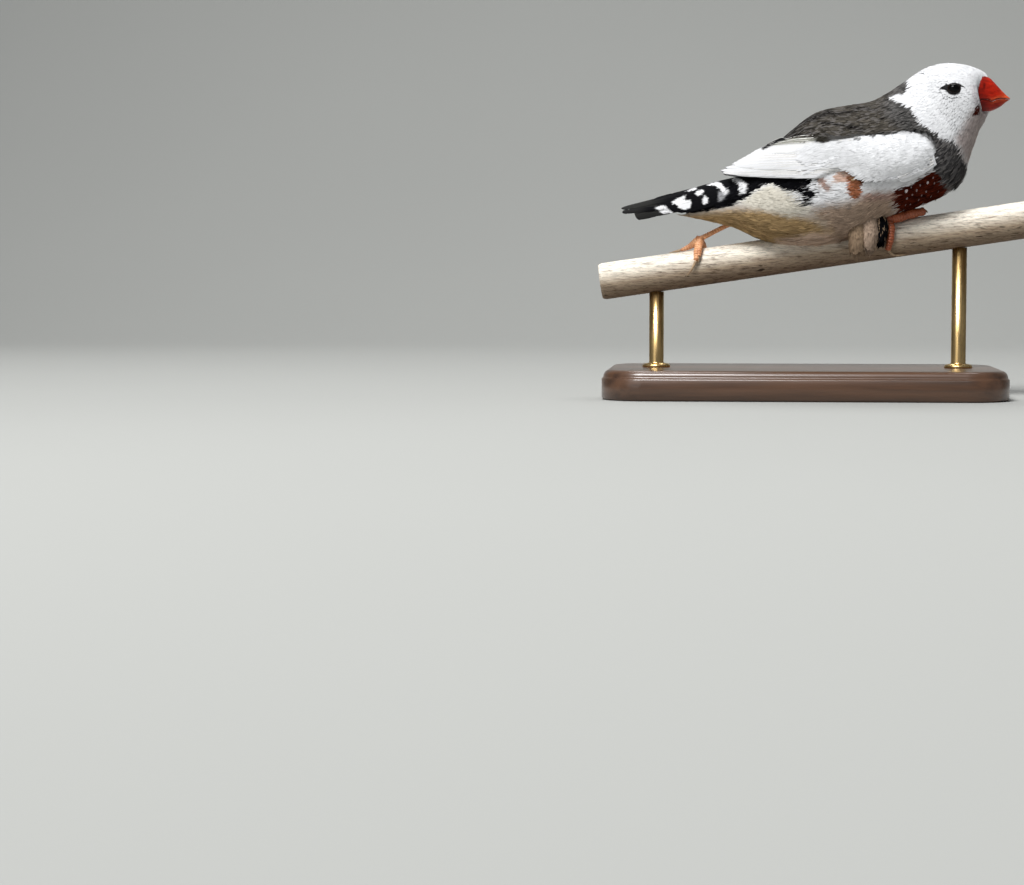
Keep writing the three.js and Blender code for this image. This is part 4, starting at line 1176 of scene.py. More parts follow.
def lay_tufts(shell, t, a, length, width, fingers, depth, lift, random, droop=0.0, over=None, towards=None):
    """Feathers of a few flat fingers that fan out from each root and lie backwards, or another way.
    Returns points (feather, finger, point, 3), the share of the length at each, and soft normals."""
    count = len(t)
    along, around = shell.slopes(t, a)
    normal = unit(np.cross(along, around))
    lie = unit(along) * shell.lie
    if towards is not None:
        lie = unit(towards - (towards * normal).sum(-1, keepdims=True) * normal)
    side = np.cross(normal, lie)
    turn = (droop + random.normal(0, 0.1, count)) * -np.sign(side[:, 2])
    turn = np.where(np.abs(side[:, 2]) > 0.05, turn, 0.0)[:, None]
    lie, side = lie * np.cos(turn) - side * np.sin(turn), side * np.cos(turn) + lie * np.sin(turn)

    c = np.linspace(-1, 1, fingers)[None, :, None]
    s = np.append(np.repeat(FINGER_STATIONS, 3), 1.0)
    taper = np.append(np.repeat(FINGER_TAPER, 3), 0.0)
    off = np.array([-1, 0, 1] * 3 + [0])
    spread = np.append(np.repeat(FINGER_SPREAD[:3], 3), FINGER_SPREAD[3])
    ridge = np.array([0, 1, 0] * 3 + [0.4])
    long = length[:, None, None] * (1 - 0.2 * c ** 2 + random.normal(0, 0.06, (count, fingers, 1)))
    half = width[:, None, None] / 2
    sway = random.normal(0, 0.05, (count, fingers, 1)) * long * s ** 2
    forward = long * s
    sideways = half * (0.82 * c * spread + off * taper * 1.3 / fingers) + sway
    raised = lift[:, None, None] + random.normal(0, 0.03, (count, fingers, 1))
    sunk = -np.broadcast_to(depth, count)[:, None, None] - 0.25
    rise = blend(sunk, raised, 1 - (1 - s) ** 2) + ridge * FINGER_THICK - 0.06 * c ** 2

    way = forward[..., None] * lie[:, None, None] + sideways[..., None] * side[:, None, None]
    site, angle = shell.shift(t[:, None, None], a[:, None, None], way)
    tip_site, tip_angle = shell.shift(t, a, lie * length[:, None])
    tip_normal = shell.outward(tip_site, tip_angle)
    outward = unit(blend(normal[:, None, None], tip_normal[:, None, None], s[..., None]))
    points = shell.surface(site, angle)
    if over is not None:
        rise = rise + over(points) * s ** 0.5
    points = points + outward * rise[..., None]
    shares = np.broadcast_to(s, points.shape[:-1])
    tilt = random.normal(0, 0.04, (count, 1, 1)) + random.normal(0, 0.04, (count, fingers, 1)) + 0.15 * off
    leant = tilt[..., None] * side[:, None, None]
    normals = unit(outward + leant + 0.1 * (s[..., None] - 0.6) * lie[:, None, None])
    return points, shares, normals


def share_round(a):
    """How far round the skin an angle lies, from the middle of the underside."""
    return (a + np.pi / 2) % (2 * np.pi) / (2 * np.pi)


def on_map(u, share):
    """A place on the unrolled skin's map."""
    return u * 0.96 + 0.02, share * 0.86 + 0.01


def coat_piece(name, slot, shell, t, a, tufts, colours, mirrored=False):
    """One piece from laid feathers and their colours, with a small patch of the map for each feather."""
    points, shares, normals = tufts
    feathers, fingers = points.shape[:2]
    count = feathers * fingers
    faces, under = finger_faces()
    faces = faces[:, ::-1] if mirrored else faces
    index = (faces[None] + FINGER_POINTS * np.arange(count)[:, None, None]).reshape(-1, 3)
    corner_normals = normals.reshape(-1, 3)[index] * np.where(np.tile(under, count), -1, 1)[:, None, None]
    lanes = np.broadcast_to(np.linspace(0, 1, fingers)[None, :, None], shares.shape)
    u, v = on_map(share_round(a), np.clip(t / shell.last, 0, 1))
    patches = np.stack([u[:, None, None] + PATCH * lanes, v[:, None, None] + PATCH * shares], -1)
    piece = mesh_piece(name, points.reshape(-1, 3), index, shared("Soft plumage", plumage_finish),
                       plumage=colours.reshape(-1, 3), OFBake=patches.reshape(-1, 2))
    piece.data.normals_split_custom_set(corner_normals.reshape(-1, 3))
    return dress(piece, slot)


def wing_height(points):
    """How far the folded wing's surface stands out over the trunk where the side view shows it."""
    flat = side_view(points)
    return follow(WING_CREST, flat[..., 0]) * smooth_step(-0.6, 1.6, inside(flat, WING_OUTLINE))


def root_shade(shares, dark=0.85):
    """The shade of a small feather, darker towards its root."""
    return blend(dark, 1.0, smooth_step(0.25, 0.8, shares)[..., None])


def finger_colours(tufts, settings, random, strays=(0.35, 0.16)):
    """Colours for laid feathers, for each finger by where its tip shows, and darker towards the root."""
    points, shares, _ = tufts
    count, fingers = points.shape[:2]
    tips = seen(points[:, :, SHOWN])
    calm = np.maximum(*(smooth_step(-1.0, 0.5, inside(tips, outline)) for outline in CALM))
    stray = random.normal(0, 1, (count, fingers, 2)) * np.array(strays)
    stray = stray * blend(1.0, CALM_SHARE, calm)[..., None]
    colour = body_colours(points[:, :, SHOWN], stray, settings)
    lightness = colour.mean(-1, keepdims=True)
    even = np.clip(lightness * 2, 0, 1)
    varied = 1 + random.normal(0, 1, (count, 1, 1)) * blend(0.2, 0.03, even)
    varied = varied * (1 + random.normal(0, 1, (count, fingers, 1)) * blend(0.36, 0.02, even))
    colour = colour * varied
    grey = np.zeros((count, fingers))
    for outline, soft, share, strength in FRINGED:
        patch = smooth_step(-soft, soft, inside(tips, outline)) * (random.random((count, fingers)) < share)
        grey = np.maximum(grey, patch * strength)
    dim = blend(0.85, 0.97, np.clip(lightness * 1.5, 0, 1))[..., None, :]
    fringe = grey[..., None, None] * smooth_step(0.6, 1.0, shares)[..., None]
    whole = blend(colour[:, :, None] * root_shade(shares, dim), np.array(FRINGE), fringe)
    return paint(seen(points), whole, SPOTS, settings, (shares > 0.6)[..., None])


# Operators

class BuildSkin(bpy.types.Operator):
    """Builds the bird's skin, one closed body with the thighs joined in"""

    bl_idname = "finch.skin"
    bl_label = "Skin"

    def execute(self, context):
        settings = context.scene.finch_plumage
        finish = shared("Soft plumage", plumage_finish)
        t, a = all_over(TRUNK_SHELL, 120, 72)
        trunk = mesh_piece("skin", *loft(TRUNK_SHELL.at(t, a, -coat_depth(t))), finish)
        for side, (line, radii) in THIGHS.items():
            limb = Limb(line, radii)
            thigh = mesh_piece(f"thigh_{side}_skin", *loft(limb.at(*all_over(limb, 32, 28), -0.6)), finish)
            join = trunk.modifiers.new("Join", "BOOLEAN")
            join.operation = "UNION"
            join.solver = "EXACT"
            join.object = thigh
            graph = context.evaluated_depsgraph_get()
            made = bpy.data.meshes.new_from_object(trunk.evaluated_get(graph), depsgraph=graph)
            trunk.modifiers.remove(join)
            trunk.data = made
            bpy.data.objects.remove(thigh)
        self.paint(trunk.data, settings)
        trunk.data.materials.clear()
        trunk.data.materials.append(finish)
        dress(trunk, "body_plumage", "torso", "neck", "head", "thigh_right", "thigh_left")
        return {"FINISHED"}

    def paint(self, mesh, settings):
        """Gives the skin the coat's markings and an unrolled map."""
        points = np.empty(len(mesh.vertices) * 3, np.float32)
        mesh.vertices.foreach_get("co", points)
        points = points.reshape(-1, 3) / MM - ORIGIN
        set_colours(mesh, body_colours(points, np.zeros(2), settings) * SKIN_SHADE)
        t, a = TRUNK_SHELL.site(points[:, 0], points[:, 2])
        turn = np.where(points[:, 1] > 0, np.pi - a, a)
        corner = corners(mesh)
        u = share_round(turn)[corner]
        for face in mesh.polygons:
            loops = slice(face.loop_start, face.loop_start + face.loop_total)
            if np.ptp(u[loops]) > 0.5:
                u[loops] = np.where(u[loops] < 0.5, u[loops] + 1, u[loops])
        while mesh.uv_layers:
            mesh.uv_layers.remove(mesh.uv_layers[0])
        set_map(mesh, "OFBake", np.stack(on_map(u, t[corner] / TRUNK_SHELL.last), -1))
        mesh.shade_smooth()


class BuildBodyCoat(bpy.types.Operator):
    """Covers the trunk and the neck with small feathers"""

    bl_idname = "finch.body_coat"
    bl_label = "Body feathers"

    def execute(self, context):
        settings = context.scene.finch_plumage
        random = np.random.default_rng(11)
        pitch, length = settings.pitch / MM, settings.length / MM
        t, a = scatter(TRUNK_SHELL, 0.35, 10.9, pitch, random, BODY_SIZES)
        root, tip = (inside(side_view(points), WING_OUTLINE)
                     for points in (TRUNK_SHELL.surface(t, a), TRUNK_SHELL.tip(t, a, length)))
        shown = np.maximum(root, tip + 0.2) <= 0.9
        t, a = t[shown], a[shown]
        height, right, trunk = np.sin(a), np.cos(a) > 0, t <= NECK_START
        flank = trunk & (np.abs(height + 0.035) <= 0.585)
        regions = {
            "coat_neck": ~trunk,
            "coat_back": trunk & (height > 0.55),
            "coat_belly": trunk & (height < -0.62),
            "coat_side_right": flank & right,
            "coat_side_left": flank & ~right,
        }
        for name, chosen in regions.items():
            self.region(name, t[chosen], a[chosen], length, settings)
        return {"FINISHED"}

    def region(self, name, t, a, length, settings):
        """The feathers of one region, looser towards the underside and ragged at the breast's lower edge."""
        random = np.random.default_rng(sum(map(ord, name)))
        low = np.clip(-np.sin(a), 0, 1)
        long = length * follow(BODY_SIZES, t) * (1.1 + 0.5 * low) * random.uniform(0.85, 1.15, len(t))
        wide = 0.55 * length * follow(BODY_SIZES, t) * random.uniform(0.85, 1.15, len(t))
        tip = seen(TRUNK_SHELL.tip(t, a, long[:, None]))
        ragged = smooth_step(20.5, 17.5, tip[:, 1]) * smooth_step(0.0, 0.8, inside(tip, BREAST))
        lift = random.uniform(-0.04, 0.04, len(t)) + 0.2 * low * random.random(len(t)) ** 2
        lift = lift + ragged * random.uniform(0.5, 1.1, len(t))
        tufts = lay_tufts(TRUNK_SHELL, t, a, long, wide, 5, coat_depth(t), lift, random, 0.12, wing_height)
        slot = "head_plumage" if name == "coat_neck" else "body_plumage"
        coat_piece(name, slot, TRUNK_SHELL, t, a, tufts, finger_colours(tufts, settings, random))


class BuildHeadCoat(bpy.types.Operator):
    """Covers the head with short feathers, shortest at the bill and round the eyes"""

    bl_idname = "finch.head_coat"
    bl_label = "Head feathers"

    def execute(self, context):
        settings = context.scene.finch_plumage
        random = np.random.default_rng(23)
        pitch, length = 1.05 * settings.pitch / MM, settings.length / MM
        t, a = scatter(TRUNK_SHELL, 10.7, 14.9, pitch, random, HEAD_SIZES)
        root = TRUNK_SHELL.surface(t, a)
        centre = TRUNK_SHELL.at(*TRUNK_SHELL.site(*EYE_SITE))
        ring = np.hypot(*(side_view(root - centre) / EYE_BARE).T)
        keep = ring > 1.0
        t, a, ring, root = t[keep], a[keep], ring[keep], root[keep]
        near = smooth_step(2.8, 1.15, ring)[:, None]
        back = -unit(TRUNK_SHELL.slopes(t, a)[0])
        spoke = unit(root - centre * np.stack([np.ones_like(t), -np.sign(root[:, 1]), np.ones_like(t)], -1))
        long = 0.9 * length * follow(HEAD_SIZES, t) * random.uniform(0.85, 1.15, len(t))
        long = np.minimum(long, np.interp(ring, (1.0, 1.8, 2.1), (0.9, 1.6, 9.0)))
        wide = 0.5 * length * follow(HEAD_SIZES, t)
        lift = random.uniform(-0.03, 0.03, len(t))
        depth = coat_depth(t) * np.interp(ring, (1.0, 2.0), (0.4, 1.0))
        tufts = lay_tufts(TRUNK_SHELL, t, a, long, wide, 3, depth, lift, random,
                          towards=unit(blend(back, spoke, near)))
        colours = finger_colours(tufts, settings, random, (0.3, 0.12)) * HEAD_SHADE
        coat_piece("coat_head", "head_plumage", TRUNK_SHELL, t, a, tufts, colours)
        return {"FINISHED"}


class BuildSpots(bpy.types.Operator):
    """Lays the white tips of the spotted flank's feathers, one small tuft for each spot"""

    bl_idname = "finch.spots"
    bl_label = "Flank spots"

    def execute(self, context):
        settings = context.scene.finch_plumage
        random = np.random.default_rng(43)
        x, z, size, light = np.array(FLANK_SPOTS + FLANK_SPOTS).T
        t, a = TRUNK_SHELL.site(x + size / 2 + SPOT_SHIFT[0], z + SPOT_SHIFT[1])
        a = np.where(np.arange(len(t)) < len(FLANK_SPOTS), a, np.pi - a)
        lift = np.full(len(t), 0.34)
        tufts = lay_tufts(TRUNK_SHELL, t, a, 1.1 * size, 0.9 * size, 3, -0.25, lift, random)
        tone = blend(np.array(settings.chestnut), np.array(settings.white) * (0.9, 0.8, 0.8), light[:, None])
        colours = np.broadcast_to(tone[:, None, None], tufts[0].shape)
        coat_piece("coat_spots", "body_plumage", TRUNK_SHELL, t, a, tufts, colours)
        return {"FINISHED"}


class BuildWisps(bpy.types.Operator):
    """Lays long loose feathers over the flanks, and lets a few hang under the belly"""

    bl_idname = "finch.wisps"
    bl_label = "Loose feathers"

    def execute(self, context):
        settings = context.scene.finch_plumage
        random = np.random.default_rng(37)
        count = settings.wisps
        hanging = random.random(count) < HANGING_SHARE
        x = np.where(hanging, random.uniform(-8, 8, count), random.uniform(-5, 21, count))
        z = np.where(hanging, random.uniform(1.6, 4.0, count), random.uniform(9.0, 20.4, count))
        clear = (inside(np.stack([x, z], -1), WISP_GAP) < 0) | hanging
        x, z, hanging = x[clear], z[clear], hanging[clear]
        count = len(x)
        t, a = TRUNK_SHELL.site(x, z)
        a = np.where(random.random(count) < 0.5, a, np.pi - a)
        long = random.uniform(4.0, 8.5, count)
        lift = np.where(hanging, random.uniform(0.1, 0.9, count), random.uniform(0.04, 0.22, count))
        wide = random.uniform(0.5, 1.1, count)
        depth = coat_depth(t) * 0.7
        tufts = lay_tufts(TRUNK_SHELL, t, a, long, wide, 4, depth, lift, random, 0.1, wing_height)
        points, shares, _ = tufts
        stray = random.normal(0, 1, points.shape[:2] + (2,)) * np.array(WISP_STRAY)
        colour = body_colours(points[:, :, SHOWN], stray, settings)[:, :, None]
        coat_piece("coat_wisps", "body_plumage", TRUNK_SHELL, t, a, tufts, colour * root_shade(shares))
        return {"FINISHED"}


class BuildThighCoat(bpy.types.Operator):
    """Covers the thighs with loose feathers that hang to the joint"""

    bl_idname = "finch.thigh_coat"
    bl_label = "Thigh feathers"

    def execute(self, context):
        settings = context.scene.finch_plumage
        random = np.random.default_rng(31)
        limbs = {f"thigh_{side}": ("thigh", *limb, 0.0) for side, limb in THIGHS.items()} | HANGING_TUFTS
        for name, (colour, line, radii, pale) in limbs.items():
            limb = Limb(line, radii)
            t, a = scatter(limb, 0.12, 0.98, 0.75, random)
            long = blend(4.4, 2.0, t) * random.uniform(0.85, 1.15, len(t))
            lift = random.uniform(-0.1, 0.15, len(t))
            tufts = lay_tufts(limb, t, a, long, 0.5 * long, 5, 0.7, lift, random)
            points, shares, _ = tufts
            each = points.shape[:2] + (1, 1)
            # The thigh, knee and shade tufts take painted shade as their colours
            tint = np.array(getattr(settings, colour)) * (1 + random.normal(0, 0.1, each))
            tint = np.where(random.random(each) < pale, np.array(settings.thigh), tint)
            coat_piece(f"coat_{name}", "body_plumage", limb, t, a, tufts, tint * root_shade(shares))
        return {"FINISHED"}


# Long feathers

VANE_THICK = 0.08
# Where a vane's shaft lies across it
SHAFT_PLACE = 0.4
SHAFT_SIDES = 6
SHAFT_WIDTH = 0.12
# Points along and across a vane, and the length that its barbs are drawn for
WING_GRID = (44, 11)
TAIL_GRID = (90, 15)
WING_BARBS = 30.0
TAIL_BARBS = 34.0
WING_RAGGED = 0.3
# The tail's tiers of barred coverts and of loose strands, how ragged its feathers are, and how blunt by tier
BARRED, STRANDS = 1, 2
TAIL_RAGGED = 0.7
TAIL_BLUNT = (0.985, 0.8, 0.9)
# How far forward and up the tail's left half lies from the mirrored right half
TAIL_DROP = np.array([0.35, 0.0, 0.3])
# Painted shade behind and painted light ahead on the white of the wing front's small feathers, and where that
# changes
SHOULDER_PAINTED_SHADING = (0.84, 1.1)
SHOULDER_REACH = (4.0, 18.0)
# The sheet under a wing's feathers, from its lower to its upper edge
UNDER_LOW = ((30.2, 25.6), (28.6, 22.6), (22.5, 21.2), (14.5, 21), (4, 21.2), (-8, 21.2), (-18, 21.6))
UNDER_HIGH = ((30.4, 26.8), (28, 30), (21.5, 31.6), (14, 31.2), (6, 30), (-4, 28.6), (-16, 24.4))
SIDES = {"right": np.array([1, 1, 1]), "left": np.array([1, -1, 1])}


def vane_width(u, random, ragged, blunt):
    """Half widths of a vane's lower and upper side from root to tip, with the notches between its barbs."""
    body = 0.6 + 0.4 * np.sin(np.pi / 2 * np.clip(u / 0.5, 0, 1))
    tip = np.sqrt(np.clip(1 - np.clip((u - blunt) / (1 - blunt), 0, 1) ** 2, 0, 1))
    sides = []
    for _ in range(2):
        waves = sum(random.uniform(0.3, 1) * np.sin(u * k * 2 * np.pi + random.uniform(0, 6.3))
                    for k in (9, 17, 26))
        notches = np.zeros_like(u)
        for _ in range(random.integers(1, 4)):
            notches += random.uniform(0.2, 0.5) * np.exp(-((u - random.uniform(0.35, 0.97)) / 0.012) ** 2)
        sides.append(np.maximum(0.02, body * tip * (1 + 0.018 * waves * ragged - notches * ragged)))
    return sides


def tucked(points):
    """How far points of the wing have slipped under the feathers of the back or the flank."""
    flat = seen(points)
    over = flat[..., 1] - follow(WING_TOP, flat[..., 0])
    under = follow(WING_FOOT, flat[..., 0]) - flat[..., 1]
    return smooth_step(-0.5, 0.6, np.maximum(over, under))


def build_vane(bed, tier, s, random, ragged, blunt=0.74, grid=WING_GRID):
    """One feather of a tier: grids of its upper and lower face, its u and its lane from -1 to 1."""
    stations, lanes = grid
    root = blend(np.array(tier.roots[0], float), np.array(tier.roots[1], float), s)
    tip = through(tier.tips, np.array(s * (len(tier.tips) - 1)))
    middle = (root + tip) / 2 + np.array([0, 2 * tier.bend * (1 - s)])
    u = 1 - np.linspace(1, 0, stations) ** 1.25

    def axis(v):
        v = v[:, None]
        return (1 - v) ** 2 * root + 2 * v * (1 - v) * middle + v ** 2 * tip

    t, a = bed.site(*axis(u).T)
    ahead, behind = (bed.surface(*bed.site(*axis(u + step).T)) for step in (0.02, -0.02))
    along = ahead - behind
    slopes = bed.slopes(t, a)
    across = unit(np.cross(np.cross(*slopes), along))
    across = across * np.sign((across * slopes[1]).sum(-1, keepdims=True))
    lower, upper = vane_width(u, random, ragged, blunt)
    lane = np.linspace(-1, 1, lanes)
    width = blend(*tier.width, s)
    share = np.where(lane < 0, SHAFT_PLACE * lower[:, None], (1 - SHAFT_PLACE) * upper[:, None])
    reach = share * width * lane
    way = across[:, None] * reach[..., None]
    half_t, half_a = bed.shift(t[:, None], a[:, None], way / 2)
    site, angle = bed.shift(half_t, half_a, way / 2)
    slant = tier.tilt * (lower[:, None] + upper[:, None]) / 4 * -lane
    shaft = 0.05 * np.exp(-(lane / 0.12) ** 2)
    height = blend(*tier.height, u)[:, None] + slant + 0.12 * (1 - lane ** 2) + shaft
    if bed is WING_SHELL:
        height = blend(height, np.minimum(height, -0.5), tucked(bed.surface(site, angle)))
    top = bed.at(site, angle, height)
    under = bed.at(site, angle, height - VANE_THICK * (1 - 0.4 * u[:, None]))
    return top, under, np.broadcast_to(u[:, None], reach.shape), np.broadcast_to(lane, reach.shape)


class VaneSheet:
    """A heap of vanes, each with a cell of its own on the map, and the lines of their shafts."""

    def __init__(self, columns, rows):
        self.heap = Heap()
        self.shafts = []
        self.columns, self.rows = columns, rows
        self.cell = 0

    def add(self, grids, colours, barbs, flip, drop=0.0):
        top, under, u, lane = grids
        top, under = top * flip + drop, under * flip + drop
        corner = np.array([self.cell % self.columns, self.cell // self.columns]) / (self.columns, self.rows)
        share = np.stack([(lane + 1) / 2 * 0.9 + 0.05, u * 0.92 + 0.04], -1) / (self.columns, self.rows)
        layers = {"plumage": colours, "OFBake": corner + share, "Vane": np.stack([lane, u * barbs / 2], -1)}
        layers = {key: values.reshape(-1, values.shape[-1]) for key, values in layers.items()}
        self.heap.add(*plate(top, under), **{key: np.vstack([rows, rows]) for key, rows in layers.items()})
        self.shafts.append(top[2:-2:3, top.shape[1] // 2])
        self.cell += 1


def shaft_recipe():
    """Round shafts along the edges of a mesh, as thick as the points say."""
    r = Recipe("Shafts", Material="Material", Thickness="Float")
    curve = r.add("GeometryNodeMeshToCurve", {"Mesh": r.source["Geometry"]})["Curve"]
    thickness = r.math("MULTIPLY", r.field("girth", "FLOAT"), r.source["Thickness"])
    curve = r.add("GeometryNodeSetCurveRadius", {"Curve": curve, "Radius": thickness})["Curve"]
    profile = r.add("GeometryNodeCurvePrimitiveCircle", {"Resolution": SHAFT_SIDES, "Radius": 1.0})["Curve"]
    scale = r.add("GeometryNodeInputRadius")["Radius"]
    swept = {"Curve": curve, "Profile Curve": profile, "Scale": scale, "Fill Caps": True}
    return r.end(r.add("GeometryNodeCurveToMesh", swept)["Mesh"])


def grow_shafts(recipe, name, lines):
    """The shafts of a wing's vanes, as one piece with a patch of the map for each."""
    counts = [len(line) for line in lines]
    points = np.vstack(lines)
    starts = np.cumsum([0] + counts)
    edges = [(i, i + 1) for first, last in zip(starts, starts[1:]) for i in range(first, last - 1)]
    girth = np.concatenate([np.linspace(1, 0.25, n) for n in counts])
    material = shared("Feather shafts", shaft_finish)
    piece = recipe.grow(name, seeds("shafts", points, edges, girth=girth), Material=material,
                        Thickness=SHAFT_WIDTH * MM)
    index = np.repeat(np.arange(len(lines)), np.array(counts) * SHAFT_SIDES)
    progress = np.concatenate([np.repeat(np.linspace(0, 1, n), SHAFT_SIDES) for n in counts])
    around = np.tile(np.arange(SHAFT_SIDES) / SHAFT_SIDES, len(points))
    columns = 8
    place = np.stack([(index % columns + 0.1) / columns + PATCH * around,
                      index / len(lines) * 0.9 + PATCH * progress], -1)
    set_map(piece.data, "OFBake", place[corners(piece.data)])
    return dress(piece, "wing_plumage")


class BuildWings(bpy.types.Operator):
    """Builds both folded wings: the flight feathers, the coverts and the small feathers of the shoulder"""

    bl_idname = "finch.wings"
    bl_label = "Wings"

    def execute(self, context):
        settings = context.scene.finch_plumage
        finish = shared("Feather vanes", vane_finish)
        recipe = shaft_recipe()
        for side, flip in SIDES.items():
            random = np.random.default_rng(41)
            sheet = VaneSheet(6, 8)
            under = self.under_sheet()
            sheet.add(under, self.colours(under, settings, random) * 0.85, WING_BARBS, flip)
            for tier in WING_TIERS:
                for i in range(tier.count):
                    grids = build_vane(WING_SHELL, tier, i / (tier.count - 1), random, WING_RAGGED)
                    sheet.add(grids, self.colours(grids, settings, random), WING_BARBS, flip)
            wing = sheet.heap.piece(f"wing_{side}_vanes", finish)
            dress(wing, "wing_plumage", f"wing_{side}")
            grow_shafts(recipe, f"wing_{side}_shafts", sheet.shafts[1:])
            self.shoulder(side, settings, flip)
        return {"FINISHED"}

    def under_sheet(self):
        """The wing's own flesh and the bases of its feathers, as a sheet under them."""
        u, s = np.meshgrid(np.linspace(0, 1, 30), np.linspace(0, 1, 12), indexing="ij")
        flat = blend(*(through(edge, u * (len(edge) - 1)) for edge in (UNDER_LOW, UNDER_HIGH)), s[..., None])
        t, a = WING_SHELL.site(flat[..., 0], flat[..., 1])
        swell = WING_SWELL * 0.6 * smooth_step(0, 4, inside(flat, WING_FRONT)) + 0.1
        swell = blend(swell, -0.4, tucked(WING_SHELL.surface(t, a)))
        return WING_SHELL.at(t, a, swell), WING_SHELL.at(t, a, -0.5), u, s * 2 - 1

    def colours(self, grids, settings, random):
        top, _, _, lane = grids
        # Painted shade: greyer towards each vane's edges and towards the wing's tip
        tone = 1 - 0.1 * smooth_step(0.6, 1.0, np.abs(lane)) - 0.2 * smooth_step(2.0, -14.0, top[..., 0])
        warm = np.array([1.0, 0.985, 0.97]) if random.random() < 0.3 else np.ones(3)
        ground = np.array(settings.white) * warm * tone[..., None] * random.uniform(0.97, 1.0)
        return paint(seen(top), ground, WING_MARKS, settings)

    def shoulder(self, side, settings, flip):
        """Small coverts over the wing's swollen front."""
        random = np.random.default_rng(53)
        t, a = scatter(WING_SHELL, 4.0, 9.0, 0.9, random)
        root = WING_SHELL.surface(t, a)
        depth = inside(side_view(root), WING_FRONT)
        chosen = (depth > 0.1) & (np.cos(a) > 0)
        t, a, depth, x = t[chosen], a[chosen], depth[chosen], root[chosen, 0]
        long = blend(3.2, 4.8, smooth_step(0, 5, depth)) + np.interp(x, (-5, 14), (3.6, 0.0))
        long = long * random.uniform(0.9, 1.1, len(t))
        lift = random.uniform(-0.02, 0.02, len(t))
        tufts = lay_tufts(SHOULDER_SHELL, t, a, long, 0.7 * long, 7, 0.25, lift, random, 0.1)
        points, shares, normals = tufts
        # Painted shade towards the back and painted light towards the front of the shoulder's white
        painted_shading = blend(*SHOULDER_PAINTED_SHADING, smooth_step(*SHOULDER_REACH, points[..., :1]))
        white = painted_shading * np.array(settings.white) * root_shade(shares, 0.96)
        white = white * (1 + random.normal(0, 0.015, points.shape[:2] + (1, 1)))
        colours = paint(seen(points), white, WING_MARKS, settings)
        tufts = points * flip, shares, normals * flip
        coat_piece(f"coat_wing_{side}", "wing_plumage", WING_SHELL, t, a, tufts, colours, side == "left")


class BuildTail(bpy.types.Operator):
    """Builds the tail's feathers and the long barred coverts over them"""

    bl_idname = "finch.tail"
    bl_label = "Tail"

    def execute(self, context):
        settings = context.scene.finch_plumage
        sheet = VaneSheet(6, 4)
        for level, tier in enumerate(TAIL_TIERS):
            for side in ("right",) if level == STRANDS else SIDES:
                random = np.random.default_rng(71 + level)
                drop = TAIL_DROP if side == "left" else 0.0
                for i in range(tier.count):
                    grids = build_vane(TAIL_SHELL, tier, i / (tier.count - 1), random, TAIL_RAGGED,
                                       TAIL_BLUNT[level], TAIL_GRID)
                    colours = self.colours(grids, level, settings, random)
                    sheet.add(grids, colours, TAIL_BARBS, SIDES[side], drop)
        tail = sheet.heap.piece("tail_vanes", shared("Feather vanes", vane_finish))
        dress(tail, "tail_plumage", "tail")
        return {"FINISHED"}

    def colours(self, grids, level, settings, random):
        top, _, u, _ = grids
        grey = 0.0 if level == BARRED else random.uniform(0.7, 1.2)
        share = smooth_step(0.3, 0.7, u)[..., None] * grey
        ground = blend(np.array(settings.black), np.array(settings.rectrix), share)
        flat = seen(top) + random.normal(0, 0.13, top.shape[:2] + (2,))
        return paint(flat, ground, TAIL_BARS, settings)


# Head

LID_BEADS = 34
BEAD_SIZE = 0.085
# Half the gap between the halves of the bill, and how deep their inner faces are hollowed
MOUTH_GAP = 0.09
MOUTH_HOLLOW = 0.35


def ball_rings(centre, outward, radius, rings, sides, start, flat=1.0):
    """Rings of a ball from the middle of its front backwards."""
    side = unit(np.cross(outward, [0, 0, 1.0]))
    up = np.cross(side, outward)
    turn = turns(sides)[:, None]
    spoke = np.cos(turn) * side + flat * np.sin(turn) * up
    return np.array([centre + radius * (math.cos(angle) * outward + math.sin(angle) * spoke)
                     for angle in np.linspace(start, np.pi - 0.05, rings)])


def bead_recipe():
    """Small flattened beads on a mesh's points, turned to face outwards."""
    r = Recipe("Lid beads", Material="Material", Size="Float", Flatness="Float")
    bead = r.add("GeometryNodeMeshIcoSphere", {"Radius": 1.0, "Subdivisions": 2})["Mesh"]
    turn = r.align("Z", {"Vector": r.field("outward", "FLOAT_VECTOR")})
    flat = r.math("MULTIPLY", r.source["Size"], r.source["Flatness"])
    size = r.add("CombineXYZ", {"X": r.source["Size"], "Y": r.source["Size"], "Z": flat})["Vector"]
    return r.end_on_points(bead, Rotation=turn, Scale=r.scaled(size, r.field("girth", "FLOAT")))


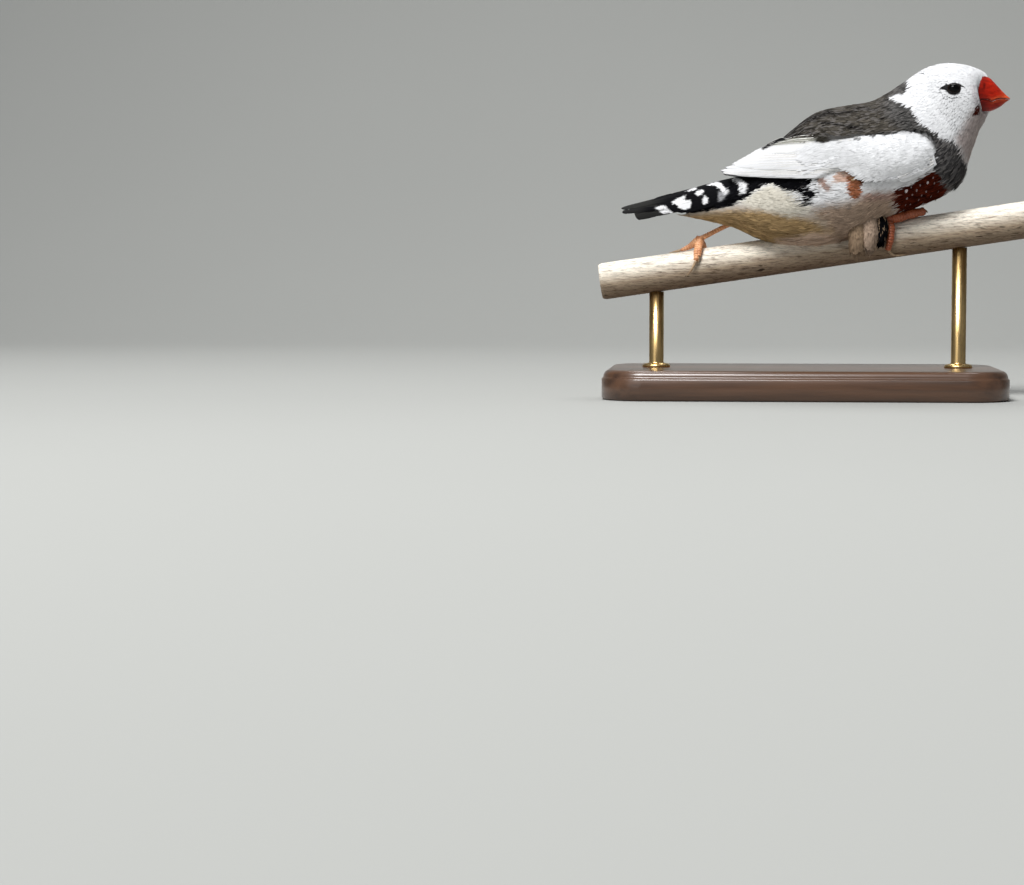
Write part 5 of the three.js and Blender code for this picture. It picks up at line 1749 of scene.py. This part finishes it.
class BuildEyes(bpy.types.Operator):
    """Builds the glossy eyes, and their lids with a ring of fine beads"""

    bl_idname = "finch.eyes"
    bl_label = "Eyes"

    def execute(self, context):
        settings = context.scene.finch_head
        t, a = TRUNK_SHELL.site(*EYE_SITE)
        centre, outward = TRUNK_SHELL.at(t, a, -EYE_DEPTH), TRUNK_SHELL.outward(t, a)
        beads, skin = bead_recipe(), lid_finish()
        opening = settings.opening / MM
        for side, flip in SIDES.items():
            middle, way = centre * flip, outward * flip
            ball = loft(ball_rings(middle, way, EYE_RADIUS, 40, 48, 0.02, EYE_FLAT))
            ball = mesh_piece(f"eyeball_{side}", *ball, eye_finish(settings, in_place(middle), way))
            dress(ball, "eye", f"eye_{side}")
            lids = Heap()
            lids.add(*loft(self.lid(middle, way, opening)))
            for line, widths in EYE_CORNERS:
                lids.add(*plate(*(sheet * flip for sheet in self.corner(line, widths))))
            dress(lids.piece(f"lids_{side}", skin), "head_plumage")
            ring = self.rim(middle, way, EYE_RADIUS, opening + 0.2, LID_BEADS)
            mesh = seeds("beads", ring, outward=np.broadcast_to(way, ring.shape), girth=np.ones(len(ring)))
            row = beads.grow(f"lid_beads_{side}", mesh, Material=skin, Size=BEAD_SIZE * MM, Flatness=0.6)
            dress(row, "head_plumage")
        return {"FINISHED"}

    def corner(self, line, widths):
        """The upper and the lower face of a pointed fold on the plumage."""
        rows = through(np.column_stack([line, widths]), np.linspace(0, len(line) - 1, 16))
        ahead = unit(np.gradient(rows[:, :2], axis=0))
        lane = np.linspace(-1, 1, 9)
        side = np.stack([-ahead[:, 1], ahead[:, 0]], -1)[:, None] * (rows[:, 2:] * lane)[..., None]
        t, a = TRUNK_SHELL.site(*np.moveaxis(rows[:, None, :2] + side, -1, 0))
        return TRUNK_SHELL.at(t, a, 0.1 * (1 - lane ** 2) + 0.05), TRUNK_SHELL.at(t, a, -0.3)

    def rim(self, centre, outward, radius, opening, count):
        """Points round the eye's opening, on the ball: longest from front to back, with pointed corners."""
        side = unit(np.cross(outward, [0, 0, 1.0]))
        side = side * -np.sign(side[0])
        up = np.cross(side, outward) * -np.sign(outward[1])
        turn = turns(count)
        corner = 0.12 * np.clip(np.cos(turn), 0, 1) ** 6 + 0.05 * np.clip(-np.cos(turn), 0, 1) ** 6
        reach_x = opening * np.cos(turn) * (1 + corner)
        reach_z = opening * EYE_FLAT * np.sin(turn)
        out = np.sqrt(np.maximum(radius ** 2 - reach_x ** 2 - (reach_z / EYE_FLAT) ** 2, 0.01))
        return centre + side * reach_x[:, None] + up * reach_z[:, None] + outward * out[:, None]

    def lid(self, centre, outward, opening):
        """A rounded rim that grips the ball, closed on itself."""
        line = self.rim(centre, outward, EYE_RADIUS + 0.05, opening, 64)
        along = unit(np.roll(line, -1, axis=0) - np.roll(line, 1, axis=0))
        out = unit(line - centre)
        turn = turns(8)[:, None, None]
        return line + 0.1 * (np.cos(turn) * np.cross(along, out) * 1.4 + np.sin(turn) * out)


class BuildBill(bpy.types.Operator):
    """Builds the two halves of the bill, parted along the mouth, with nostrils"""

    bl_idname = "finch.bill"
    bl_label = "Bill"

    def execute(self, context):
        settings = context.scene.finch_head
        finish = bill_finish()
        for half, upper in (("upper", True), ("lower", False)):
            points, faces = loft(self.rings(upper))
            points = self.nostrils(points) if upper else points
            colours = self.colours(points, settings, upper)
            horn = mesh_piece(f"bill_{half}_horn", points, faces, finish, plumage=colours)
            dress(horn, "bill", f"bill_{half}")
        return {"FINISHED"}

    def rings(self, upper):
        """Rings of one half: its outside, and its inner face along the mouth."""
        way = 1 if upper else -1
        around = np.linspace(0, 1, 33)
        across = np.linspace(0, 1, 13)[1:-1, None]
        rings = []
        for t in np.linspace(0, BILL_SHELL.last, 64):
            low, high = -np.pi / 2, np.pi / 2
            for _ in range(30):
                angle = (low + high) / 2
                point = BILL_SHELL.surface(t, angle)
                if point[2] < mouth_height(point[0]) + way * MOUTH_GAP:
                    low = angle
                else:
                    high = angle
            edge = (low + high) / 2
            ends = (edge, np.pi - edge) if upper else (np.pi - edge, 2 * np.pi + edge)
            turn = blend(*ends, around)
            outer = BILL_SHELL.surface(np.full_like(turn, t), turn)
            hollow = way * MOUTH_HOLLOW * np.sin(np.pi * across) * (1 - t / BILL_SHELL.last)
            inner = blend(outer[-1], outer[0], across) + hollow * np.array([0, 0, 1.0])
            rings.append(np.vstack([outer, inner]))
        return np.array(rings)

    def nostril(self, points):
        """How near points lie to the nostrils, from 0 to 1."""
        away = (side_view(points) - (NOSTRIL["x"], NOSTRIL["z"])) / (NOSTRIL["long"], NOSTRIL["high"])
        return np.exp(-np.hypot(*away.T) ** 2)

    def nostrils(self, points):
        """The upper half's points with its nostrils pressed in."""
        depth = NOSTRIL["depth"] * self.nostril(points) * (np.abs(points[:, 1]) > 2.0)
        moved = points.copy()
        moved[:, 1] -= np.sign(points[:, 1]) * depth
        return moved

    def colours(self, points, settings, upper):
        red, light, root = (np.array(getattr(settings, key)) for key in ("bill", "bill_highlight", "bill_base"))
        x = points[:, 0]
        from_mouth = np.abs(points[:, 2] - mouth_height(x))
        # Painted highlight along the mouth's edge and towards the tip; painted shade in the cleft and at the
        # base
        edge = np.exp(-((from_mouth - 0.45) / 0.35) ** 2) * smooth_step(44.0, 46.0, x)
        cleft = np.exp(-(from_mouth / 0.16) ** 2)
        base = smooth_step(45.4, 43.0, x + (0 if upper else -0.4))
        colour = np.broadcast_to(red, points.shape)
        tip = smooth_step(47.0, 51.0, x)
        layers = (light, 0.75 * tip), (light, 0.6 * edge), (root, 0.85 * cleft), (root, 0.6 * base)
        for tone, share in layers:
            colour = blend(colour, tone, share[:, None])
        # Painted shade in the nostrils, and over the whole lower half
        if upper:
            return blend(colour, root * 0.5, self.nostril(points)[:, None])
        return blend(colour, root, 0.4)


def mouth_height(x):
    return follow(through(MOUTH_LINE, np.linspace(0, len(MOUTH_LINE) - 1, 60)), x)


# Legs

# The first points of a toe's line, which carry no scutes
BARE_TOE = 6


def scute_recipe():
    """Bent plates on a mesh's points, each square to the limb and as wide as it."""
    r = Recipe("Scutes", Material="Material", Thickness="Float")
    arc = r.add("GeometryNodeCurveArc", {"Resolution": 12, "Radius": 1.0, "Start Angle": math.radians(-125),
                                         "Sweep Angle": math.radians(250)}, mode="RADIUS")["Curve"]
    profile = r.add("GeometryNodeCurvePrimitiveCircle", {"Resolution": 6, "Radius": 1.0})["Curve"]
    flat = r.add("CombineXYZ", {"X": r.source["Thickness"], "Y": 0.46, "Z": 1.0})["Vector"]
    profile = r.add("GeometryNodeTransform", {"Geometry": profile, "Scale": flat})["Geometry"]
    swept = {"Curve": arc, "Profile Curve": profile, "Fill Caps": True}
    scute = r.add("GeometryNodeCurveToMesh", swept)["Mesh"]
    turn = r.align("Z", {"Vector": r.field("along", "FLOAT_VECTOR")})
    turn = r.align("X", {"Rotation": turn, "Vector": r.field("outward", "FLOAT_VECTOR")}, pivot_axis="Z")
    return r.end_on_points(scute, Rotation=turn, Scale=r.scaled((1.0, 1.0, 1.0), r.field("girth", "FLOAT")))


class BuildLegs(bpy.types.Operator):
    """Builds the shanks, the toes that grip the perch, their scutes and their claws"""

    bl_idname = "finch.legs"
    bl_label = "Legs"

    def execute(self, context):
        settings = context.scene.finch_legs
        horn, recipe = claw_finish(settings), scute_recipe()
        spacing = settings.spacing / MM
        for side, (joint, toes) in FEET.items():
            skin, scute = leg_finish(settings, side), scute_finish(settings, side)
            joint, (shank, front) = on_perch(*joint), SHANKS[side]
            line = route([*shank, joint], 40)
            u = np.linspace(0, 1, len(line))
            radius = SHANK_RADIUS * (1.2 - 0.8 * u * (1 - u))
            shank = mesh_piece(f"shank_{side}_skin", *loft(tube(line, radius, 20)), skin)
            dress(shank, "leg_scales", f"shank_{side}")
            plates = [self.plates(line, radius, np.broadcast_to(front, line.shape), spacing)]
            foot, claws = Heap(), Heap()
            foot.add(*loft(ball_rings(joint, np.array([0, 0, 1.0]), JOINT_RADIUS, 16, 20, 0.05)))
            for toe, claw, girth, taper in toes:
                toe, claw = [on_perch(*p) for p in toe], [on_perch(*p) for p in claw]
                line = route([joint, *toe], 44)
                u = np.linspace(0, 1, len(line))
                bulge = 0.08 * np.cos(6 * np.pi * u) * (1 - taper)
                radius = TOE_RADIUS * girth * (1.12 - taper * u + bulge)
                radius = radius * np.sqrt(np.clip((1.02 - u) / 0.08, 0.2, 1.0))
                foot.add(*loft(tube(line, radius, 16)))
                upward = unit(line - self.perch_axis(line))
                shown = (rows[BARE_TOE:] for rows in (line, radius, upward))
                plates.append(self.plates(*shown, spacing * 0.9))
                nail = route([toe[-1], *claw], 20)
                v = np.linspace(0, 1, len(nail))
                claws.add(*loft(tube(nail, CLAW_RADIUS * (1.05 - 0.97 * v ** 1.3))))
            dress(foot.piece(f"foot_{side}_skin", skin), "leg_scales", f"foot_{side}")
            dress(claws.piece(f"claws_{side}", horn), "leg_scales")
            points, along, outward, girth = (np.concatenate(rows) for rows in zip(*plates))
            mesh = seeds("scutes", points, along=along, outward=outward, girth=girth * MM)
            dress(recipe.grow(f"scutes_{side}", mesh, Material=scute, Thickness=0.13), "leg_scales")
        return {"FINISHED"}

    def perch_axis(self, line):
        """The points of the perch's axis nearest to a line."""
        axis = np.array([math.cos(PERCH_SLOPE), 0, math.sin(PERCH_SLOPE)])
        foot = np.array([0.0, PERCH_SIDE, 0.0])
        return foot + ((line - foot) @ axis)[:, None] * axis

    def plates(self, line, radius, outward, spacing):
        """Where the scutes of a limb sit, the way they face, and how wide they are."""
        far = run(line)
        marks = np.arange(spacing * 0.5, far[-1] - spacing * 0.3, spacing)
        tangents = unit(np.gradient(line, axis=0))
        site, along, out = (pick(marks, far, rows) for rows in (line, tangents, outward))
        return site, unit(along), unit(out), np.interp(marks, far, radius)


# Mount

PERCH_WEAR = 0.014
# The collar at a rod's foot: heights over it, and radii as shares of the rod's
COLLAR = ((0.0, 1.9), (0.5, 1.9), (0.9, 1.65), (1.1, 1.05), (1.4, 1.0))
BASE_CORNER = 12.0


def perch_recipe():
    """A turned rod of bare wood: a fine cylinder, worn at its rims and uneven along its grain."""
    numbers = dict.fromkeys(("Radius", "Length", "Slope", "Wear"), "Float")
    r = Recipe("Turned perch", Material="Material", **numbers)
    size = {"Radius": r.source["Radius"], "Depth": r.source["Length"]}
    cuts = {"Vertices": 96, "Side Segments": 240, "Fill Segments": 6}
    rod = r.add("GeometryNodeMeshCylinder", {**size, **cuts})
    place = r.add("GeometryNodeInputPosition")["Position"]
    end = r.math("ABSOLUTE", r.add("SeparateXYZ", {"Vector": place})["Z"])
    left = r.math("SUBTRACT", r.math("MULTIPLY", r.source["Length"], 0.5), end)
    worn_rim = {"Value": left, "From Min": 0.0, "From Max": 0.0009, "To Min": 0.93, "To Max": 1.0}
    rim = r.add("MapRange", worn_rim, interpolation_type="SMOOTHSTEP")["Result"]
    stretched = r.vector("MULTIPLY", place, (1.0, 1.0, 0.05))
    fibre = r.add("TexNoise", {"Vector": stretched, "Scale": 900.0, "Detail": 3.0})["Fac"]
    broad = r.add("TexNoise", {"Vector": place, "Scale": 60.0, "Detail": 1.0})["Fac"]
    worn = r.math("SUBTRACT", r.math("ADD", fibre, broad), 1.0)
    factor = r.math("ADD", rim, r.math("MULTIPLY", worn, r.source["Wear"]))
    scale = r.add("CombineXYZ", {"X": factor, "Y": factor, "Z": 1.0})["Vector"]
    moved = r.vector("MULTIPLY", place, scale)
    rod = r.add("GeometryNodeSetPosition", {"Geometry": rod["Mesh"], "Position": moved})["Geometry"]
    turn = r.add("CombineXYZ", {"Y": r.math("SUBTRACT", math.pi / 2, r.source["Slope"])})["Vector"]
    rod = r.add("GeometryNodeTransform", {"Geometry": rod, "Rotation": turn})["Geometry"]
    return r.end_on_points(rod)


class BuildMount(bpy.types.Operator):
    """Builds the perch, the two rods that hold it and the wooden base"""

    bl_idname = "finch.mount"
    bl_label = "Perch and stand"

    def execute(self, context):
        settings = context.scene.finch_mount
        mesh = seeds("perch_middle", [(0.0, PERCH_SIDE, 0.0)])
        perch = perch_recipe().grow("perch_wood", mesh, Material=perch_finish(settings),
                                    Radius=PERCH_RADIUS * MM, Length=PERCH_LENGTH * MM,
                                    Slope=PERCH_SLOPE, Wear=PERCH_WEAR)
        dress(perch, "perch_wood", "perch")
        brass = brass_finish(settings)
        for end in ("front", "rear"):
            low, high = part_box(f"stand_rod_{end}")
            rod = mesh_piece(f"rod_{end}", *loft(self.rod(low, high)), brass)
            dress(rod, "rod_brass", f"stand_rod_{end}")
        low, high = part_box("stand_base")
        slab = loft(self.base(low, high, settings.bevel / MM))
        base = mesh_piece("base_wood", *slab, base_finish(settings))
        dress(base, "base_wood", "stand_base")
        return {"FINISHED"}

    def rod(self, low, high):
        """A rod with a small collar on the base, up to just inside the perch's underside."""
        x, y = (np.array(low + high) / 2 / MM - ORIGIN)[:2]
        foot = low.z / MM - ORIGIN[2] - 0.25
        head = high.z / MM - ORIGIN[2]
        radius = (high.x - low.x) / 2 / MM
        profile = [(foot + rise, width) for rise, width in COLLAR] + [(head, 1.0)]
        turn = turns(48)
        return np.array([np.stack([x + radius * r * np.cos(turn), y + radius * r * np.sin(turn),
                                   np.full_like(turn, z)], -1) for z, r in profile])

    def base(self, low, high, bevel):
        """A slab with rounded corners and a rounded upper edge over a fine step."""
        low, high = np.array(low) / MM - ORIGIN, np.array(high) / MM - ORIGIN
        middle, half = (low + high) / 2, (high - low) / 2
        turn = turns(96)
        quarter = np.stack([np.sign(np.cos(turn + 1e-6)), np.sign(np.sin(turn + 1e-6))], -1)
        round_edge, top = bevel * 1.6, 2 * half[2]
        steps = [(0.6, 0.0), (0.0, 0.6), (0.0, top - round_edge - 0.5), (0.45, top - round_edge)]
        steps += [(0.45 + round_edge * (1 - math.cos(s)), top - round_edge * (1 - math.sin(s)))
                  for s in np.linspace(0.0, math.pi / 2, 8)]
        rings = []
        for inset, height in steps + [(6.0, top)]:
            circle = (BASE_CORNER - inset) * np.stack([np.cos(turn), np.sin(turn)], -1)
            spot = quarter * (half[:2] - BASE_CORNER) + circle
            rings.append(np.column_stack([middle[:2] + spot, np.full(len(turn), low[2] + height)]))
        return np.array(rings)


# Stage

# Lights: name, place, size, and power as a share of the key light's
LIGHTS = (
    ("Key", (-0.25, -0.50, 0.85), 0.45, 1.0),
    ("Fill", (-0.60, -1.00, 0.45), 0.8, 0.1),
    ("Rim", (0.0, 0.4, 0.8), 0.5, 0.3),
)
# Where the lights point
LIT = (0.0, 0.0, 0.065)
SKY = (0.92, 0.95, 1.0, 1.0)
SKY_STRENGTH = 0.22


class BuildStage(bpy.types.Operator):
    """Builds the floor with its backdrop, the lights and the camera"""

    bl_idname = "finch.stage"
    bl_label = "Stage"

    def execute(self, context):
        settings = context.scene.finch_stage
        scene = context.scene
        self.sweep(floor_finish(settings))
        for name, place, size, share in LIGHTS:
            self.light(name, place, size, settings.key * share)
        world = scene.world or bpy.data.worlds.new("Studio")
        scene.world = world
        world.use_nodes = True
        ground = world.node_tree.nodes["Background"]
        ground.inputs["Color"].default_value = SKY
        ground.inputs["Strength"].default_value = SKY_STRENGTH
        scene.view_settings.view_transform = "Standard"
        self.camera(scene)
        return {"FINISHED"}

    def sweep(self, finish):
        """A floor that curves up into a backdrop on every side but the front."""
        curve = [(0.45 + 0.5 * math.sin(s), 0.5 - 0.5 * math.cos(s))
                 for s in np.linspace(0.1, math.pi / 2, 16)]
        profile = [(-2.5, 0.0), (0.45, 0.0), *curve, (0.95, 2.5)]
        across = np.linspace(-3.0, 3.0, 13)
        columns = len(across)
        firsts = [i * columns + j for i in range(len(profile) - 1) for j in range(columns - 1)]
        mesh = bpy.data.meshes.new("studio_floor")
        mesh.from_pydata([(x, y, z) for y, z in profile for x in across], [],
                         [(a, a + 1, a + columns + 1, a + columns) for a in firsts])
        mesh.shade_smooth()
        mesh.materials.append(finish)
        link(bpy.data.objects.new("studio_floor", mesh))

    def light(self, name, place, size, power):
        lamp = bpy.data.lights.new(name, "AREA")
        lamp.shape = "DISK"
        lamp.size = size
        lamp.energy = power
        piece = link(bpy.data.objects.new(name, lamp))
        piece.location = place
        piece.rotation_euler = (Vector(LIT) - piece.location).to_track_quat("-Z", "Y").to_euler()

    def camera(self, scene):
        """The photograph's view, turned so that the bird stands where it does in the photograph."""
        camera = link(bpy.data.objects.new("Camera", bpy.data.cameras.new("Camera")))
        camera.data.sensor_width = 36.0
        camera.data.lens = FOCAL_PIXELS * camera.data.sensor_width / PHOTO_SIZE[0]
        camera.data.clip_start = 0.01
        camera.data.clip_end = 20.0
        camera.rotation_euler = (CAMERA_PITCH, 0.0, CAMERA_YAW)
        camera.location = in_place(CAMERA_PLACE)
        scene.camera = camera


class FinchPanel(bpy.types.Panel):
    """Lists the finch's settings and its building steps"""

    bl_idname = "VIEW3D_PT_finch"
    bl_label = "Zebra Finch"
    bl_space_type = "VIEW_3D"
    bl_region_type = "UI"
    bl_category = "Finch"

    def draw(self, context):
        layout = self.layout
        for name in SETTINGS:
            box = layout.box()
            group = getattr(context.scene, name)
            for key in group.__annotations__:
                box.prop(group, key)
        for step in STEPS:
            layout.operator(step.bl_idname)


SETTINGS = {
    "finch_plumage": PlumageSettings,
    "finch_head": HeadSettings,
    "finch_legs": LegSettings,
    "finch_mount": MountSettings,
    "finch_stage": StageSettings,
}
STEPS = (BuildSkin, BuildBodyCoat, BuildHeadCoat, BuildSpots, BuildWisps, BuildThighCoat, BuildWings,
         BuildTail, BuildEyes, BuildBill, BuildLegs, BuildMount, BuildStage)

TRUNK_SHELL = Trunk(TRUNK)
WING_SHELL = Shell(WING_BED)
SHOULDER_SHELL = Shoulder(WING_BED)
TAIL_SHELL = Shell(TAIL_BED)
BILL_SHELL = Shell(BILL)


def register():
    for cls in (*SETTINGS.values(), *STEPS, FinchPanel):
        bpy.utils.register_class(cls)
    for name, group in SETTINGS.items():
        setattr(bpy.types.Scene, name, bpy.props.PointerProperty(type=group))


def unregister():
    for name in SETTINGS:
        delattr(bpy.types.Scene, name)
    for cls in reversed((*SETTINGS.values(), *STEPS, FinchPanel)):
        bpy.utils.unregister_class(cls)


def main():
    register()
    for step in STEPS:
        part = step.bl_idname.split(".")[1]
        getattr(bpy.ops.finch, part)()


if __name__ == "__main__":
    main()
